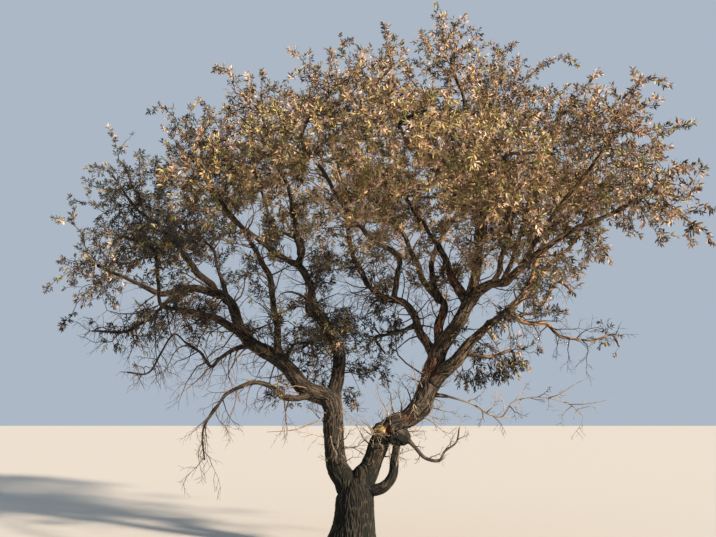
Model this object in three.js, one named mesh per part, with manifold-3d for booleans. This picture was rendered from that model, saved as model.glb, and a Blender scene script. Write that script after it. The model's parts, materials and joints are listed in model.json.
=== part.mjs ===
// A cambara tree: a broad savanna tree that forks near the ground and carries a wide, open, rounded crown.
// Millimetres, +Z up. The origin is the middle of the flat cut under the trunk, at ground level. +X runs
// along the wider way of the crown, to the right as the viewer sees it, and +Y runs away from the viewer.
// The wood comes first, limb by limb, each cut clear of the limbs before it. Then a stem leads from a
// limb's tip into each mass of foliage, and the twigs and leaves of a mass grow on that stem inside the
// mass's own space.
import * as THREE from "three";
import { mergeVertices } from "three/addons/utils/BufferGeometryUtils.js";
import Module from "manifold-3d";

const wasm = await Module();
wasm.setup();

const clearance = 0.4; // gap between neighbouring solids
const leafClearance = 4; // gap that leaves and twigs keep to wood that isn't their own
// A faceted cylinder is slimmer than its radius, so one to cut with swells by this much more.
const roundSlack = 1.3;

// The trunk: a short round bole that spreads at the foot. Each flare stands out at a bearing, by a reach
// at the ground, over a width in degrees.
const trunk = {
  height: 880,
  radius: 212,
  lean: 10,
  sides: 20,
  rows: 7,
  rowCrowding: 1.4, // the power by which the rows crowd towards the foot
  waist: { share: 0.35, from: 0.72, to: 1.02 }, // given up to its forks, at these shares of its height
  skirt: 18,
  flareHeight: 210, // the height over which a flare dies away to a third
  flares: [
    { bearing: 182, reach: 235, width: 24 },
    { bearing: 118, reach: 95, width: 28 },
    { bearing: 55, reach: 110, width: 26 },
    { bearing: -8, reach: 85, width: 26 },
    { bearing: -62, reach: 120, width: 28 },
    { bearing: -122, reach: 90, width: 28 },
  ],
};

// A limb runs in legs of length, bearing (0 is +X, 90 is away from the viewer), rise above the level, and
// radius at the leg's end. It starts on another limb at a count of that limb's legs, or at a point, with a
// root radius. A limb that has no legs leads straight on to its mass of foliage. A limb that is fused to
// another, such as a fork of the trunk or a spur, is part of that solid.
const limbs = {
  left_fork: {
    fusedTo: "trunk", start: [-15, 0, 600], root: 158,
    legs: [[230, 180, 70, 150], [220, 180, 58, 134]],
  },
  right_fork: {
    fusedTo: "trunk", start: [20, 0, 600], root: 158,
    legs: [[230, 0, 76, 150], [190, 0, 58, 130]],
  },
  left_bough: {
    from: "left_fork",
    root: 134,
    legs: [
      [190, 180, 80, 128], [260, 180, 86, 120], [340, 172, 83, 116], [350, 165, 24, 106], [350, 155, 46, 98],
      [360, 150, 34, 90], [320, 160, 28, 86], [300, 150, 48, 76], [370, 162, 64, 64], [320, 158, 35, 55],
      [370, 164, 7, 48], [400, 166, -10, 42], [430, 175, 24, 34],
    ],
  },
  inner_left_spur: { fusedTo: "left_bough", at: 5.4, root: 34, legs: [[190, 20, 58, 24]] },
  left_rear_spur: {
    fusedTo: "left_bough", at: 9.2, root: 50,
    legs: [[300, 112, 42, 36], [380, 120, 48, 28]],
  },
  middle_bough: {
    from: "left_bough",
    at: 2.85,
    root: 104,
    legs: [
      [480, 72, 58, 88], [370, 92, 57, 84], [280, 133, 42, 80], [300, 135, 62, 78], [220, 145, 35, 74],
      [290, 88, 70, 58], [360, 127, 58, 54], [180, 152, 54, 50], [310, 83, 50, 44], [390, 106, 36, 38],
      [400, 126, 25, 32],
    ],
  },
  left_lower_bough: {
    from: "left_bough",
    at: 7.6,
    root: 60,
    legs: [[420, -137, 20, 48], [400, -116, 6, 40], [330, -126, 4, 32]],
  },
  left_arm: {
    from: "middle_bough",
    at: 7.8,
    root: 50,
    legs: [
      [200, 180, 18, 44], [200, 180, 28, 42], [260, -150, 37, 38], [270, 180, 34, 36], [340, 180, 42, 34],
      [350, 178, 52, 31], [250, 165, 60, 28],
    ],
  },
  left_crest_bough: { from: "left_bough", at: 9.6, root: 52 },
  left_skirt_bough: { from: "left_bough", at: 10.9, root: 40 },
  left_riser: {
    from: "left_bough",
    at: 5.6,
    root: 54,
    legs: [[480, -97, 70, 44], [330, -97, 53, 40], [480, -104, 49, 36], [400, -108, 30, 30]],
  },
  crooked_arm: {
    from: "left_bough",
    at: 6.9,
    root: 40,
    legs: [
      [290, -144, -17, 27], [230, -149, -32, 24], [160, -127, -37, 21], [220, 180, 48, 18],
      [260, 165, 34, 15],
    ],
  },
  low_arch: {
    from: "left_bough",
    at: 3.55,
    root: 50,
    legs: [
      [430, -154, -4, 37], [200, -144, 28, 32], [210, -151, 14, 28], [180, -164, -13, 24], [190, 180, -25, 20],
      [200, -153, -55, 16], [290, -160, -62, 12], [330, -20, -84, 8],
    ],
  },
  crest_left_bough: { from: "middle_bough", at: 8.6, root: 48 },
  right_bough: {
    from: "right_fork",
    root: 130,
    legs: [
      [220, 0, 68, 122], [260, -5, 64, 118], [130, -10, 42, 120], [190, -10, 20, 122], [210, -8, 42, 122],
      [250, 0, 67, 120], [260, 0, 72, 116], [260, 0, 70, 98], [380, 0, 54, 86], [350, 15, 58, 80],
      [350, -50, 27, 54], [250, -55, -5, 48], [320, -77, 17, 43], [330, -72, 15, 39], [320, -73, 6, 35],
      [370, -37, 24, 31], [340, -27, 19, 27],
    ],
    burl: { centre: [532, -120, 1388], size: [118, 104, 122] }, // the knot below the bend
  },
  rear_bough: {
    from: "right_bough",
    at: 8,
    root: 76,
    legs: [
      [280, 97, 72, 60], [390, 73, 58, 52], [260, 112, 35, 48], [500, 104, 34, 44], [500, 93, 38, 40],
      [720, 107, 44, 36], [560, 117, 42, 31],
    ],
  },
  inner_bough: {
    from: "right_bough",
    at: 7.5,
    root: 70,
    legs: [
      [370, 133, 46, 56], [300, 132, 63, 52], [255, 140, 52, 48], [235, 154, 10, 46], [210, 146, 31, 42],
      [375, 123, 50, 38], [405, 130, 50, 35], [770, 142, 78, 31], [560, -150, 80, 27],
    ],
  },
  inner_middle_spur: { fusedTo: "inner_bough", at: 1.6, root: 36, legs: [[200, 140, -12, 26]] },
  inner_front_bough: {
    from: "inner_bough",
    at: 3.6,
    root: 44,
    legs: [
      [320, -74, 58, 38], [285, -81, 45, 36], [240, -117, 20, 34], [390, -129, 12, 32], [670, -117, 12, 29],
      [400, -107, 12, 26],
    ],
  },
  heart_bough: {
    from: "right_bough",
    at: 9.8,
    root: 66,
    legs: [[350, 134, 54, 54], [230, 121, 59, 50], [275, 117, 66, 46], [280, 142, 54, 40]],
  },
  peak_bough: {
    from: "right_bough",
    at: 10,
    root: 72,
    legs: [
      [350, -60, 78, 60], [235, -73, 64, 56], [260, -76, 38, 52], [280, -93, 45, 46], [520, 121, 84, 38],
      [610, 135, 77, 31], [400, 135, 82, 26],
    ],
  },
  crown_right_bough: { from: "peak_bough", at: 1.1, root: 50 },
  crown_front_bough: { from: "peak_bough", at: 2.2, root: 40 },
  crest_centre_bough: { from: "peak_bough", at: 3.6, root: 36 },
  right_front_bough: { from: "right_bough", at: 11.2, root: 36 },
  right_rear_bough: { from: "rear_bough", at: 2.2, root: 46 },
  right_crest_bough: { from: "right_bough", at: 11.8, root: 34 },
  right_top_bough: { from: "right_bough", at: 13.3, root: 32 },
  right_arm: {
    from: "right_bough",
    at: 6.2,
    root: 106,
    legs: [
      [420, -38, 34, 98], [300, -15, 50, 88], [270, 0, 45, 80], [210, -17, 36, 66], [320, -12, 41, 58],
      [430, 22, 44, 45], [420, 20, 40, 32],
    ],
  },
  inner_right_spur: { fusedTo: "right_arm", at: 1.5, root: 34, legs: [[200, -25, -10, 24]] },
  right_under_spur: { fusedTo: "right_arm", at: 4.1, root: 40, legs: [[330, 50, 2, 32], [330, 52, 12, 26]] },
  right_droop: {
    from: "right_arm",
    at: 3.3,
    root: 44,
    legs: [
      [220, -20, 30, 30], [250, 20, -17, 27], [320, 18, -1, 23], [290, 37, -31, 19], [330, 17, -5, 15],
    ],
  },
  right_wing_bough: { from: "right_arm", at: 5.6, root: 35 },
  side_shoot: {
    start: [90, -20, 735],
    root: 62,
    legs: [[215, -8, 6, 58], [180, -18, 46, 55], [210, -30, 78, 53], [230, 12, 74, 50]],
  },
  dead_branch: {
    from: "right_bough",
    at: 5.7,
    root: 30,
    dead: true,
    legs: [
      [530, -11, -12, 17], [250, -14, -33, 15], [170, -18, -13, 13], [220, -22, 51, 12], [280, -11, 14, 10],
      [380, -8, -14, 8], [180, -21, -39, 6],
    ],
  },
  dead_hook: {
    start: [560, -130, 1400],
    root: 32,
    dead: true,
    legs: [
      [230, -20, -43, 24], [180, -24, -48, 20], [170, -18, -7, 17], [120, 0, 59, 13], [180, 0, 38, 11],
      [170, 0, 76, 8],
    ],
  },
};

// A mass of foliage stands on a limb's tip. It has a middle, half sizes and a tint, and a small one its
// own count of shoots.
const masses = {
  left_tip: { on: "left_bough", centre: [-3610, 900, 3660], half: [550, 600, 760], tint: "grey" },
  left_crest: { on: "left_crest_bough", centre: [-3580, 1750, 4960], half: [760, 700, 800], tint: "grey" },
  left_rear: { on: "left_rear_spur", centre: [-2850, 2450, 4600], half: [760, 700, 680], tint: "grey" },
  left_heart: { on: "left_lower_bough", centre: [-2350, -800, 3520], half: [640, 600, 560], tint: "grey" },
  left_skirt: { on: "left_skirt_bough", centre: [-2960, 300, 2670], half: [860, 560, 420], tint: "grey" },
  left_hem: {
    on: "crooked_arm", centre: [-2600, 100, 2130], half: [520, 420, 300], shoots: 3, tint: "grey",
  },
  left_shoulder: { on: "left_arm", centre: [-2190, 600, 5330], half: [740, 700, 740], tint: "tan" },
  left_front: { on: "left_riser", centre: [-1560, -1650, 4060], half: [640, 620, 540], tint: "olive" },
  crest_left: { on: "crest_left_bough", centre: [-1200, -150, 5380], half: [700, 700, 680], tint: "tan" },
  crest_left_rear: { on: "middle_bough", centre: [-1650, 2300, 5450], half: [800, 700, 720], tint: "tan" },
  crown_left_front: {
    on: "inner_front_bough", centre: [-530, -2150, 4300], half: [640, 600, 490], tint: "olive",
  },
  crest_middle: { on: "inner_bough", centre: [-400, 800, 6140], half: [720, 720, 780], tint: "tan" },
  crest_centre: { on: "crest_centre_bough", centre: [280, -900, 5520], half: [580, 640, 640], tint: "tan" },
  crown_back: { on: "rear_bough", centre: [200, 2550, 5450], half: [880, 700, 780], tint: "olive" },
  crown_front: {
    on: "crown_front_bough", centre: [430, -2550, 4320], half: [640, 580, 520], tint: "olive",
  },
  peak: { on: "peak_bough", centre: [1260, -300, 6200], half: [560, 560, 760], tint: "tan" },
  heart: { on: "heart_bough", centre: [740, 720, 4620], half: [720, 600, 580], tint: "olive" },
  crown_right: { on: "crown_right_bough", centre: [2080, 620, 6090], half: [720, 680, 740], tint: "tan" },
  right_front: {
    on: "right_front_bough", centre: [1480, -2350, 4080], half: [640, 580, 520], tint: "olive",
  },
  crown_right_rear: {
    on: "right_rear_bough", centre: [2040, 2150, 5350], half: [860, 700, 780], tint: "olive",
  },
  right_crest: { on: "right_crest_bough", centre: [2430, -850, 5030], half: [600, 600, 580], tint: "tan" },
  right_top: { on: "right_top_bough", centre: [2850, -1600, 4640], half: [580, 560, 590], tint: "tan" },
  right_tip: { on: "right_bough", centre: [3010, -2000, 3830], half: [520, 540, 580], tint: "tan" },
  right_heart: { on: "right_arm", centre: [3060, -350, 4330], half: [620, 580, 580], tint: "tan" },
  right_wing: { on: "right_wing_bough", centre: [3200, 1350, 4950], half: [740, 660, 680], tint: "tan" },
  right_under: {
    on: "right_under_spur", centre: [2880, 950, 3450], half: [500, 460, 440], shoots: 4, tint: "olive",
  },
  right_sprig: {
    on: "right_droop", centre: [3230, 40, 2600], half: [340, 320, 280], shoots: 3, tint: "grey",
  },
  inner_right: {
    on: "inner_right_spur", centre: [1880, -350, 2360], half: [380, 320, 280], shoots: 3, tint: "grey",
  },
  inner_left: {
    on: "inner_left_spur", centre: [-560, 80, 2520], half: [360, 340, 320], shoots: 3, tint: "grey",
  },
  inner_middle: {
    on: "inner_middle_spur", centre: [270, 780, 2640], half: [500, 440, 440], shoots: 4, tint: "grey",
  },
};

// Boughs that lead straight on to a mass bend up from their limb, wander a little, and end where they
// enter it.
const leader = {
  legLength: 600,
  lead: 0.3, // how far the bough runs on along its limb before it turns, as a share of its span
  lift: 0.12, // how far it bows upwards, as a share of its span
  wander: 0.035, // how far its bends stray, as a share of its span
  tip: 24,
  entry: 0.75, // where it ends, as a share of the mass's size out from the middle
};

const foliage = {
  leafLength: 580, // each leaf stands for a spray, so it is larger than life
  leafWidth: 280,
  leafThickness: 30,
  fullSize: 620, // a mass smaller than this has leaves that are smaller in proportion
  leavesPerShoot: 3,
  twigRadius: [13, 8],
  stemTip: 12,
  stemLeast: 22, // the radius a stem keeps as far as the middle of its mass
  stemPlaces: [1.3, 1.7, 2.25, 2.6, 2.85, 3.25, 3.5], // where twigs may leave a stem, counted in its legs
  pathWeight: 90, // what a leg further along the stem counts for against the length of a twig
  crownHeart: [-100, 0, 3900], // shoots point away from here
  shoots: 5, // in a mass that doesn't state its own count
  shootDepth: 0.52, // how far out in a mass its shoots end, as a share of its half size
  shootTurn: 0.6, // the most that a shoot's end strays round the spiral, in radians
  sizeSpread: [0.85, 0.3], // depths and leaf sizes run from the first share up by the second
  // A stem's root is a share of its limb's tip, and its next two corners are shares of its root.
  stemShares: [0.82, 0.85, 0.7],
  stemRun: 0.3, // how far a stem runs straight on from its limb, as a share of the way to the mass's middle
  twigRise: 0.1, // how far a twig's middle bends upwards, as a share of its length
  leafTilt: 58, // degrees between a leaf and its twig
  lastLeafTilt: 14,
  leafTries: 10,
  leafSunk: 4, // how deep a leaf's base sits in its twig
};

const degrees = Math.PI / 180;
const goldenAngle = Math.PI * (3 - Math.sqrt(5));
const vector = (p) => new THREE.Vector3(...p);
const up = new THREE.Vector3(0, 0, 1);

// A repeatable stream of numbers from 0 to 1, one stream for each name.
function seeded(name) {
  let state = [...name].reduce((sum, letter) => (Math.imul(sum, 31) + letter.charCodeAt(0)) | 0, 7);
  return () => {
    state = (state + 0x6d2b79f5) | 0;
    let t = Math.imul(state ^ (state >>> 15), 1 | state);
    t = (t + Math.imul(t ^ (t >>> 7), 61 | t)) ^ t;
    return ((t ^ (t >>> 14)) >>> 0) / 4294967296;
  };
}

function direction(bearing, rise) {
  const level = Math.cos(rise * degrees);
  const turn = bearing * degrees;
  return vector([level * Math.cos(turn), level * Math.sin(turn), Math.sin(rise * degrees)]);
}

// Limbs as lines: corners, then rings.

// The corners of a limb: where each leg ends, and the radius there.
function cornersOf(start, root, legs) {
  const corners = [{ point: start, radius: root }];
  for (const [length, bearing, rise, radius] of legs) {
    const last = corners[corners.length - 1].point;
    corners.push({ point: last.clone().addScaledVector(direction(bearing, rise), length), radius });
  }
  return corners;
}

// Rings along a limb, each with its centre, radius, heading and the two directions across it. Rings lie on
// a smooth curve through the corners, one at each corner and one halfway along each thick leg.
function ringsOf(corners, thick = 75) {
  const curve = new THREE.CatmullRomCurve3(corners.map((corner) => corner.point), false, "centripetal");
  const legs = corners.length - 1;
  const places = [0];
  for (let i = 1; i <= legs; i++) {
    if (corners[i].radius > thick) places.push(i - 0.5);
    places.push(i);
  }
  let side = new THREE.Vector3(0, 1, 0);
  return places.map((place) => {
    const before = Math.min(Math.floor(place), legs - 1);
    const heading = curve.getTangent(place / legs);
    side = side.clone().addScaledVector(heading, -side.dot(heading)).normalize();
    return {
      place,
      centre: curve.getPoint(place / legs),
      radius: THREE.MathUtils.lerp(corners[before].radius, corners[before + 1].radius, place - before),
      heading,
      side,
      over: new THREE.Vector3().crossVectors(side, heading),
    };
  });
}

// The middle of a limb at a count of its legs, on the straight run between two of its rings.
function middleAt(rings, place) {
  const next = Math.max(1, rings.findIndex((ring) => ring.place >= place));
  const [a, b] = [rings[next - 1], rings[next]];
  return a.centre.clone().lerp(b.centre, (place - a.place) / (b.place - a.place));
}

// The corners of a bough that leads straight on to the mass it carries.
function leaderCorners(name, limb, start, heading) {
  const mass = Object.values(masses).find((m) => m.on === name);
  const centre = vector(mass.centre);
  const way = centre.clone().sub(start);
  const span = way.length() - leader.entry * meanSize(mass);
  const end = start.clone().addScaledVector(way.normalize(), span);
  const curve = new THREE.CubicBezierCurve3(
    start,
    start.clone().addScaledVector(heading, leader.lead * span).addScaledVector(up, leader.lift * span),
    end.clone().addScaledVector(way, -leader.lead * span).addScaledVector(up, leader.lift * span),
    end,
  );
  const random = seeded(name);
  const legs = Math.max(2, Math.round(span / leader.legLength));
  const corners = [];
  for (let i = 0; i <= legs; i++) {
    const point = curve.getPoint(i / legs);
    const stray = i > 0 && i < legs ? leader.wander * span : 0;
    point.add(vector([random() - 0.5, random() - 0.5, random() - 0.5]).multiplyScalar(2 * stray));
    corners.push({ point, radius: THREE.MathUtils.lerp(limb.root, leader.tip, i / legs) });
  }
  return corners;
}

// Solids.

// A capped cylinder bent along the rings. Swell makes it larger all round, to cut a clearance with.
function bentCylinder(rings, sides, swell = 0) {
  const rows = rings.length - 1;
  const geometry = new THREE.CylinderGeometry(1, 1, 1, sides, rows);
  const position = geometry.attributes.position;
  for (let i = 0; i < position.count; i++) {
    const row = Math.round((position.getY(i) + 0.5) * rows);
    const ring = rings[row];
    const end = row === 0 ? -swell : row === rows ? swell : 0;
    const radius = ring.radius + swell * roundSlack;
    const p = ring.centre.clone()
      .addScaledVector(ring.side, position.getX(i) * radius)
      .addScaledVector(ring.over, position.getZ(i) * radius)
      .addScaledVector(ring.heading, end);
    position.setXYZ(i, p.x, p.y, p.z);
  }
  return geometry;
}

function solidOf(geometry) {
  geometry.deleteAttribute("normal");
  geometry.deleteAttribute("uv");
  const merged = mergeVertices(geometry, 1e-3);
  const vertProperties = new Float32Array(merged.attributes.position.array);
  const triVerts = new Uint32Array(merged.index.array);
  return new wasm.Manifold(new wasm.Mesh({ numProp: 3, vertProperties, triVerts }));
}

function geometryOf(solid) {
  const mesh = solid.getMesh();
  const points = new Float32Array(mesh.numVert * 3);
  for (let i = 0; i < mesh.numVert; i++) {
    points.set(mesh.vertProperties.subarray(i * mesh.numProp, i * mesh.numProp + 3), i * 3);
  }
  const geometry = new THREE.BufferGeometry();
  geometry.setAttribute("position", new THREE.BufferAttribute(points, 3));
  geometry.setIndex(new THREE.BufferAttribute(new Uint32Array(mesh.triVerts), 1));
  geometry.computeVertexNormals();
  return geometry;
}

function largestPiece(solid) {
  return solid.decompose().sort((a, b) => b.volume() - a.volume())[0];
}

function boxesMeet(a, b) {
  const [p, q] = [a.boundingBox(), b.boundingBox()];
  return [0, 1, 2].every((k) => p.min[k] <= q.max[k] && q.min[k] <= p.max[k]);
}

function touches(solid, others) {
  return others.some((other) => boxesMeet(solid, other) && solid.intersect(other).volume() > 0);
}

// Cuts a solid clear of the wood that it meets and keeps the main piece.
function cutClear(solid, others) {
  let cut = solid;
  for (const other of others) {
    if (boxesMeet(cut, other)) cut = cut.subtract(other);
  }
  return largestPiece(cut);
}

// The trunk.

// How far the trunk stands out at a bearing and a height above the ground.
function trunkRadius(bearing, height) {
  const { share, from, to } = trunk.waist;
  const waist = 1 - share * THREE.MathUtils.smoothstep(height, from * trunk.height, to * trunk.height);
  let reach = trunk.skirt;
  for (const flare of trunk.flares) {
    const off = THREE.MathUtils.euclideanModulo(bearing - flare.bearing + 180, 360) - 180;
    reach += flare.reach * Math.exp(-0.5 * (off / flare.width) ** 2);
  }
  return trunk.radius * waist + reach * Math.exp(-height / trunk.flareHeight);
}

function trunkGeometry(swell) {
  const geometry = new THREE.CylinderGeometry(1, 1, 1, trunk.sides, trunk.rows);
  const position = geometry.attributes.position;
  for (let i = 0; i < position.count; i++) {
    const share = position.getY(i) + 0.5;
    const height = trunk.height * share ** trunk.rowCrowding;
    const [x, y] = [position.getZ(i), position.getX(i)];
    const onRim = Math.hypot(x, y) > 0.5;
    const radius = onRim ? trunkRadius(Math.atan2(y, x) / degrees, height) + swell * roundSlack : 0;
    position.setXYZ(i, x * radius + trunk.lean * share, y * radius, height + (share === 1 ? swell : 0));
  }
  return geometry;
}

// The limbs.

const rings = { trunk: null }; // the rings of every limb, by name

for (const [name, limb] of Object.entries(limbs)) {
  const parent = rings[limb.from ?? limb.fusedTo];
  let start = limb.start && vector(limb.start);
  let heading = up;
  if (!start && limb.at !== undefined) {
    start = middleAt(parent, limb.at);
    heading = parent.find((ring) => ring.place >= limb.at).heading;
  } else if (!start) {
    const tip = parent[parent.length - 1];
    start = tip.centre.clone().addScaledVector(tip.heading, clearance);
  }
  const corners = limb.legs
    ? cornersOf(start, limb.root, limb.legs)
    : leaderCorners(name, limb, start, heading);
  rings[name] = ringsOf(corners);
}

function sidesFor(radius) {
  if (radius > 100) return 9;
  if (radius > 60) return 7;
  return radius > 38 ? 6 : 5;
}

// A limb with all that is fused to it.
function limbSolid(name, swell = 0) {
  const limb = limbs[name];
  const parts = [];
  parts.push(solidOf(limb ? bentCylinder(rings[name], sidesFor(limb.root), swell) : trunkGeometry(swell)));
  for (const [other, spur] of Object.entries(limbs)) {
    if (spur.fusedTo === name) parts.push(solidOf(bentCylinder(rings[other], sidesFor(spur.root), swell)));
  }
  if (limb?.burl) {
    const knot = new THREE.IcosahedronGeometry(1, 1);
    const [a, b, c] = limb.burl.size.map((size) => size + swell * roundSlack);
    knot.scale(a, b, c).translate(...limb.burl.centre);
    parts.push(solidOf(knot));
  }
  return wasm.Manifold.union(parts);
}

const made = []; // every piece, with its name, solid and kind of surface
const swollen = []; // each piece of wood, larger by the clearance

for (const name of ["trunk", ...Object.keys(limbs)]) {
  if (limbs[name]?.fusedTo) continue;
  const kind = limbs[name]?.dead ? "deadWood" : "bark";
  made.push({ name, solid: cutClear(limbSolid(name), swollen), kind });
  swollen.push(limbSolid(name, clearance));
}

// The masses of foliage.

function meanSize(mass) {
  return (mass.half[0] + mass.half[1] + mass.half[2]) / 3;
}

// A mass's own space is its ellipsoid, cut off by a plane between it and each neighbour.
function inOwnSpace(name, point, margin = 6) {
  const own = masses[name];
  const at = vector(own.centre);
  const off = point.clone().sub(at);
  if (off.clone().divide(vector(own.half)).length() > 1) return false;
  return Object.entries(masses).every(([other, mass]) => {
    if (other === name) return true;
    const away = vector(mass.centre).sub(at);
    const gap = away.length();
    const plane = (gap * gap + meanSize(own) ** 2 - meanSize(mass) ** 2) / (2 * gap);
    return off.dot(away) / gap < plane - margin;
  });
}

// Shoot ends lie on a golden spiral round the pole of the mass that faces out of the crown.
function shootEnds(name, mass) {
  const random = seeded(name);
  const [least, spread] = foliage.sizeSpread;
  const shoots = mass.shoots ?? foliage.shoots;
  const centre = vector(mass.centre);
  const outward = centre.clone().sub(vector(foliage.crownHeart)).normalize();
  const turn = new THREE.Quaternion().setFromUnitVectors(up, outward);
  const ends = [];
  for (let i = 0; i < shoots; i++) {
    const height = 1 - (2 * (i + 0.35)) / shoots;
    const ring = Math.sqrt(Math.max(0, 1 - height * height));
    const angle = i * goldenAngle + random() * foliage.shootTurn;
    const out = vector([ring * Math.cos(angle), ring * Math.sin(angle), height]).applyQuaternion(turn);
    const depth = foliage.shootDepth * (least + spread * random());
    ends.push(centre.clone().add(out.multiply(vector(mass.half)).multiplyScalar(depth)));
  }
  return ends.filter((end) => inOwnSpace(name, end));
}

// A stem runs on from its limb's tip, bends to the middle of its mass and ends at the first shoot end.
function stemCorners(mass, end) {
  const tip = rings[mass.on][rings[mass.on].length - 1];
  const start = tip.centre.clone().addScaledVector(tip.heading, clearance);
  const centre = vector(mass.centre);
  const [rootShare, bendShare, middleShare] = foliage.stemShares;
  const root = tip.radius * rootShare;
  const bend = start.clone().addScaledVector(tip.heading, start.distanceTo(centre) * foliage.stemRun);
  const slim = Math.min(root, foliage.stemLeast);
  return [
    { point: start, radius: root },
    { point: bend, radius: Math.max(slim, root * bendShare) },
    { point: bend.clone().lerp(centre, 0.5), radius: Math.max(slim, root * middleShare) },
    { point: centre, radius: slim },
    { point: end, radius: foliage.stemTip },
  ];
}

for (const [name, mass] of Object.entries(masses)) {
  mass.ends = shootEnds(name, mass);
  mass.stem = ringsOf(stemCorners(mass, mass.ends[0]));
  mass.wood = cutClear(solidOf(bentCylinder(mass.stem, 4)), swollen);
  mass.swollenWood = solidOf(bentCylinder(mass.stem, 4, leafClearance));
}

// A leaf is a long spindle of three sides, pressed flat, with its keel below. It stands on its base point.
function leafGeometry(base, along, roll, length, width) {
  const leaf = new THREE.SphereGeometry(1, 3, 2);
  leaf.scale(foliage.leafThickness / 1.5, length / 2, width / Math.sqrt(3));
  leaf.translate(0, length / 2, 0);
  const turn = new THREE.Quaternion().setFromUnitVectors(new THREE.Vector3(0, 1, 0), along);
  turn.multiply(new THREE.Quaternion().setFromAxisAngle(new THREE.Vector3(0, 1, 0), roll));
  return leaf.applyQuaternion(turn).translate(base.x, base.y, base.z);
}

function allInOwnSpace(name, geometry) {
  const position = geometry.attributes.position;
  for (let i = 0; i < position.count; i++) {
    if (!inOwnSpace(name, new THREE.Vector3().fromBufferAttribute(position, i))) return false;
  }
  return true;
}

// A twig leaves the stem at the free place that makes the shortest way back to the limb, and bends upwards.
function growTwig(mass, places, end) {
  const way = (place) => middleAt(mass.stem, place).distanceTo(end) + foliage.pathWeight * place;
  places.sort((a, b) => way(a) - way(b));
  const start = middleAt(mass.stem, places.shift());
  const bend = start.clone().lerp(end, 0.5).addScaledVector(up, foliage.twigRise * start.distanceTo(end));
  const [thick, thin] = foliage.twigRadius;
  return ringsOf([
    { point: start, radius: thick },
    { point: bend, radius: (thick + thin) / 2 },
    { point: end, radius: thin },
  ]);
}

// Leaves stand round the outer part of a twig at the golden angle, the last one at its tip. A leaf that
// would leave the space or touch anything is turned and shortened, and is skipped in the end.
function growLeaf(name, twig, count, random, inTheWay) {
  const last = count === foliage.leavesPerShoot - 1;
  const tip = twig[twig.length - 1];
  const back = last ? 0.03 : 1 - (0.35 + count) / (foliage.leavesPerShoot - 0.4);
  const base = middleAt(twig, tip.place - back);
  const heading = tip.centre.clone().sub(base).normalize();
  const across = vector([0.3, 0.2, 1]).cross(heading).normalize();
  const share = Math.min(1, meanSize(masses[name]) / foliage.fullSize);
  const [least, spread] = foliage.sizeSpread;
  for (let tries = 0; tries < foliage.leafTries; tries++) {
    const turn = count * goldenAngle + tries * 1.3 + random();
    const tilt = (last ? foliage.lastLeafTilt : foliage.leafTilt) * degrees;
    const out = across.clone().applyAxisAngle(heading, turn);
    const along = heading.clone().multiplyScalar(Math.cos(tilt));
    along.addScaledVector(out, Math.sin(tilt)).normalize();
    const size = share * (1 - 0.05 * tries) * (least + spread * random());
    const sunk = base.clone().addScaledVector(along, -foliage.leafSunk);
    const roll = random() * Math.PI;
    const leaf = leafGeometry(sunk, along, roll, foliage.leafLength * size, foliage.leafWidth * size);
    if (!allInOwnSpace(name, leaf)) continue;
    const solid = solidOf(leaf);
    if (!touches(solid, inTheWay)) return solid;
  }
  return null;
}

function growMass(name, mass) {
  const random = seeded(`${name} leaves`);
  const others = Object.entries(masses).filter(([other]) => other !== name);
  const obstacles = [...swollen, ...others.map(([, other]) => other.swollenWood)];
  const parts = [mass.wood];
  const shoots = [{ twig: mass.stem, solid: mass.wood }];
  const places = foliage.stemPlaces.filter((place) => inOwnSpace(name, middleAt(mass.stem, place)));
  for (const end of mass.ends.slice(1)) {
    if (places.length === 0) break;
    const twig = growTwig(mass, places, end);
    const solid = solidOf(bentCylinder(twig, 3));
    if (touches(solid, obstacles)) continue;
    parts.push(solid);
    shoots.push({ twig, solid });
  }
  for (const shoot of shoots) {
    for (let i = 0; i < foliage.leavesPerShoot; i++) {
      const inTheWay = [...obstacles, ...parts.filter((part) => part !== shoot.solid)];
      const leaf = growLeaf(name, shoot.twig, i, random, inTheWay);
      if (leaf) parts.push(leaf);
    }
  }
  return largestPiece(wasm.Manifold.union(parts));
}

for (const [name, mass] of Object.entries(masses)) {
  made.push({ name: `foliage_${name}`, solid: growMass(name, mass), kind: mass.tint });
}

// The tree.

const materials = {
  bark: new THREE.MeshStandardMaterial({ color: 0x5b4f42, roughness: 0.95, metalness: 0 }),
  deadWood: new THREE.MeshStandardMaterial({ color: 0x9a8a74, roughness: 0.9, metalness: 0 }),
  tan: new THREE.MeshStandardMaterial({ color: 0x8f7650, roughness: 0.75, metalness: 0 }),
  olive: new THREE.MeshStandardMaterial({ color: 0x6b6a35, roughness: 0.75, metalness: 0 }),
  grey: new THREE.MeshStandardMaterial({ color: 0x4f4c3c, roughness: 0.8, metalness: 0 }),
};

const tree = new THREE.Group();
tree.name = "cambara_tree";
for (const piece of made) {
  const mesh = new THREE.Mesh(geometryOf(piece.solid), materials[piece.kind]);
  mesh.name = piece.name;
  tree.add(mesh);
}

export default tree;
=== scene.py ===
import json
import math

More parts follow.
